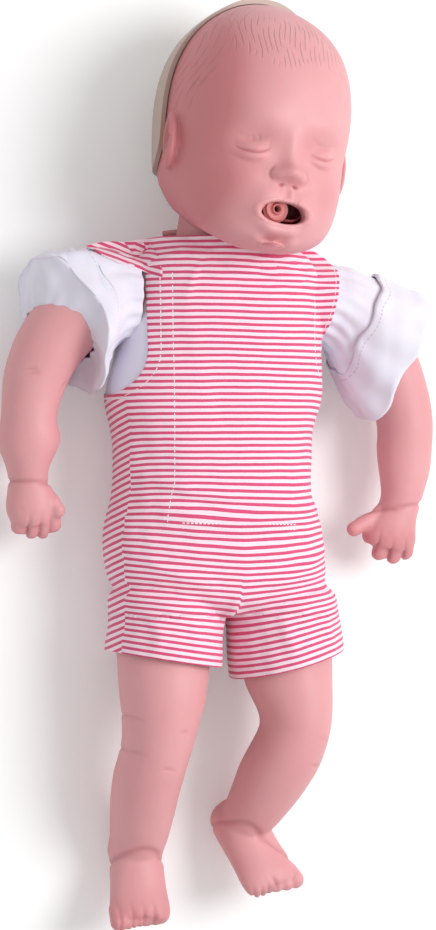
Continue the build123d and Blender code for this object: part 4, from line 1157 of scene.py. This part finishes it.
def build_straps(material):
    """The bib's top round the neck, its two strap ends, and the strap from the back."""
    yoke = draped_panel("romper_yoke", YOKE, (-1.2, 1.4), YOKE_GRID)
    p = points_of(yoke)
    x, y, z = p.T
    folds = 1.5 * hill(y - 117 + 0.28 * np.abs(x - 18), 2.6) * ramp(x, 0, 16)
    folds -= 1.2 * hill(y - 110 + 0.30 * np.abs(x - 24), 2.4) * ramp(x, 4, 22)
    folds += 1.1 * hill(y - 120 + 0.5 * np.abs(x + 36), 2.6) * ramp(-x, 14, 30)
    push(yoke, folds * ramp(y, 100, 108) + 0.3 * ripple(p, 18, 61))
    columns, rows = YOKE_GRID
    column = np.repeat(np.linspace(0, 1, columns), rows)
    set_attributes(yoke, weave=weave_height(p) + 0.4 * folds, stitch_a=(0.965 - column) * 90)
    back = draped_panel("romper_back_strap", BACK_STRAP, (0.0, 0.3), STRAP_GRID)
    q = points_of(back)
    push(back, 0.5 * ripple(q, 14, 62))
    set_attributes(back, weave=q[:, 1] * 0.94 + q[:, 0] * 0.34)
    for piece in (yoke, back):
        thicken(piece, ROMPER_CLOTH, material)
        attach(piece, "torso")
    return [yoke, back]


def leg_field(points, side):
    """Positive on one side's leg, below the line where the legs part."""
    return np.minimum(LEG_SPLIT_Y - points[:, 1], side * points[:, 0] + 0.01)


def build_romper(material):
    cloth = romper_surface()
    drape_romper(cloth)
    mark_romper(cloth)
    body = keep_faces(cloth, "romper_body", lambda p: p[:, 1] - LEG_SPLIT_Y)
    thicken(body, ROMPER_CLOTH, material)
    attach(body, "torso")
    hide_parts("romper")
    for side in (LEFT, RIGHT):
        name = SIDE_NAME[side]
        leg = keep_faces(cloth, f"romper_leg_{name}", lambda p, side=side: leg_field(p, side))
        thicken(leg, ROMPER_CLOTH, material)
        x, y = LEG_TOP
        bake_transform(leg)
    drop(cloth)
    straps = build_straps(material)


# Shirt

def build_shirt_body(material):
    """The shirt under the romper, seen in the armholes and at the neck."""
    rings = trunk_rings(SHIRT_INSET, SHIRT_END, SHOULDER_Y - SHIRT_INSET, 76, 130)
    cloth = tube_object("shirt", rings, False)
    cut_away(cloth, lambda p: neckline_field(p, 38.0, -11.0))
    p = points_of(cloth)
    x, y, z = p.T
    folds = 0.7 * np.sin((y * 0.5 + z * 0.8) / 4.2) + 0.6 * ripple(p, 22, 31)
    push(cloth, ramp(np.abs(x), 48, 60) * (0.6 * folds + 0.6) * ramp(z, 4, 12))
    mark_shirt(cloth)
    thicken(cloth, SHIRT_CLOTH, material)
    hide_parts("shirt_body")
    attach(cloth, "torso")


def mark_shirt(obj, stitch=None):
    """Lengths that the shirt's material reads: along a row of stitches, and the distance from it."""
    y = points_of(obj)[:, 1]
    set_attributes(obj, across=y, stitch_a=np.full(len(y), NO_STITCH) if stitch is None else stitch)


def sleeve_frame(side, t, rings):
    """Middle, normal, width and depth directions, and radii at share t along some rings."""
    knots = np.linspace(0, 1, len(rings))
    rows = np.array([(*m, *n, a, b) for m, n, a, b in rings], float)
    row = np.array([hermite(np.array(t), knots, rows[:, k]) for k in range(rows.shape[1])])
    middle = row[:3] * (side, 1, 1)
    normal = row[3:6] * (side, 1, 1)
    normal /= np.linalg.norm(normal)
    wide = np.cross(normal, (0, 0, 1))
    wide /= np.linalg.norm(wide)
    deep = np.cross(wide, normal) * -side
    return middle, normal, wide, deep, row[6], row[7]


def sleeve_profile(side):
    """(share of length, lift off the sleeve) from the shoulder to the rim and back over the cuff."""
    start = CUFF_START[side]
    inner = [(t, 0.0) for t in np.linspace(0, 1, 46)]
    lip = [(1.0 + 0.02 * sin(a), 0.5 * CUFF_LIFT * (1 - cos(a))) for a in np.linspace(0.4, pi - 0.2, 6)]
    outer = [(t, CUFF_LIFT) for t in np.linspace(1.0, start, 26)]
    tuck = [(start + 0.004, 0.55 * CUFF_LIFT)]
    return inner + lip + outer + tuck


def sleeve_ring(side, t, lift, rings, slack, phase):
    angles = turn_angles(SLEEVE_AROUND)
    middle, normal, wide, deep, half_width, half_depth = sleeve_frame(side, min(t, 1.0), rings)
    wave = 1.5 * np.sin(5 * angles + 2.6 * side + 1.5 * phase) + 1.0 * np.sin(9 * angles + 4 * phase + side)
    gather = 0.9 * np.sin(17 * angles + side) * (1 - slack)
    radial = wave * slack + gather + lift
    ring = middle + normal * max(t - 1.0, 0.0) * 60
    ring = ring + np.outer((half_width + radial) * np.cos(angles), wide)
    ring = ring + np.outer((half_depth + radial) * np.sin(angles), deep)
    sag = 2.6 * slack * np.cos(3 * angles + side) + 1.4 * slack * np.sin(7 * angles)
    return ring + np.outer(sag, normal)


def finish_sleeve(piece, side, stitch, material):
    p = points_of(piece)
    p[:, 2] = np.maximum(p[:, 2], 0.8)
    move_points(piece, p)
    push(piece, 0.5 * ripple(p, 17, 41 + side) + 0.9 * np.abs(ripple(p, 40, 47 + side)) - 0.5)
    mark_shirt(piece, stitch)
    thicken(piece, SHIRT_CLOTH, material)
    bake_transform(piece)


def build_lining(side, material):
    rim = SLEEVE_RINGS[side][-1]
    rings = []
    for t in np.linspace(0, 1, 20):
        lift = 0.9 - 2.1 * float(ramp(t, 0.0, 0.15))
        rings.append(sleeve_ring(side, t, lift, [rim, ARM_RING], 1 - t, 1.0))
    lining = tube_object(f"sleeve_lining_{SIDE_NAME[side]}", rings, False)
    finish_sleeve(lining, side, None, material)
    return lining


def build_sleeve(side, material):
    name = SIDE_NAME[side]
    profile = sleeve_profile(side)
    rings = [sleeve_ring(side, t, lift, SLEEVE_RINGS[side], ramp(t, 0.1, 0.8), t) for t, lift in profile]
    sleeve = tube_object(f"sleeve_{name}", rings, False)
    shares = np.repeat([t + (9 if lift < CUFF_LIFT else 0) for t, lift in profile], SLEEVE_AROUND)
    finish_sleeve(sleeve, side, (shares - CUFF_START[side] - 0.06) * 60, material)
    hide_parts(f"shirt_sleeve_{name}")
    pieces = [build_lining(side, material)] if side == RIGHT else []


# Stage

def build_key_light():
    data = bpy.data.lights.new("key", "AREA")
    data.shape = "DISK"
    data.size = KEY_SIZE
    data.energy = KEY_POWER
    lamp = link_object("key", data)
    lamp.location = KEY_PLACE
    lamp.rotation_mode = "QUATERNION"
    lamp.rotation_quaternion = (Vector(KEY_PLACE) - Vector(KEY_TARGET)).to_track_quat("Z", "Y")


def build_stage():
    """A pale floor that keeps the shadow and looks near white, and even light from all round."""
    reach = 6000.0
    corners = [(-reach, -reach, 0), (reach, -reach, 0), (reach, reach, 0), (-reach, reach, 0)]
    floor = new_object("floor", corners, [(0, 1, 2, 3)])
    g = Graph("floor")
    g.set(Roughness=0.9, Specular_IOR_Level=0.1, Base_Color=FLOOR_SHADE, Emission_Color=WHITE)
    seen = g.nodes.new("ShaderNodeLightPath").outputs["Is Camera Ray"]
    g.set(Emission_Strength=g.math("MULTIPLY", seen, FLOOR_GLOW))
    floor.data.materials.append(g.material)
    world = bpy.data.worlds.new("world")
    world.use_nodes = True
    background = world.node_tree.nodes["Background"]
    background.inputs["Color"].default_value = WHITE
    background.inputs["Strength"].default_value = WORLD_LIGHT
    bpy.context.scene.world = world
    build_key_light()


def build_camera():
    angle = radians(VIEW_SIDE_ANGLE)
    back = Vector((-sin(angle), 0.0, cos(angle)))
    data = bpy.data.cameras.new("camera")
    data.sensor_width = 36.0
    data.lens = data.sensor_width * VIEW_DISTANCE / VIEW_HEIGHT
    data.clip_end = 50.0
    camera = link_object("camera", data)
    up = Vector((0.0, 1.0, 0.0))
    right = up.cross(back).normalized()
    rotation = Matrix((right, up, back)).transposed().to_4x4()
    rotation.translation = (Vector(VIEW_CENTRE) + VIEW_DISTANCE * back) * MM
    camera.matrix_world = rotation
    bpy.context.scene.camera = camera
    bpy.context.scene.view_settings.view_transform = "Standard"


def paint_hardware():
    """Materials of the CAD pieces that are shown as they are."""
    shell = plain_plastic("shell", srgb(SHELL), 0.45)
    tube = plain_plastic("tube", srgb(TUBE), 0.4)
    rigid = plain_plastic("rigid", srgb(RIGID), 0.5)
    steel = plain_plastic("steel", srgb(STEEL), 0.3)
    steel.node_tree.nodes["Principled BSDF"].inputs["Metallic"].default_value = 1.0
    skin = skin_material()
    choice = {"skull_back_shell": shell, "vent_tube": tube, "throat_tube": tube, "airway_hose": tube}
    for name, obj in FRAME["nodes"].items():
        material = choice.get(name, rigid)
        if "screw" in name or name.endswith("spring") or "pin" in name:
            material = steel
        if name == "torso_skin":
            material = skin
        obj.data.materials.clear()
        obj.data.materials.append(material)


def main():
    FRAME.update(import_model())
    build_stage()
    paint_hardware()
    skin = skin_material()
    build_head(head_material())
    build_mouth(insert_material())
    for side in (LEFT, RIGHT):
        build_limb("arm", side, skin)
        build_limb("leg", side, skin)
    build_romper(stripe_material())
    shirt = shirt_material()
    build_shirt_body(shirt)
    for side in (LEFT, RIGHT):
        build_sleeve(side, shirt)
    build_camera()


main()
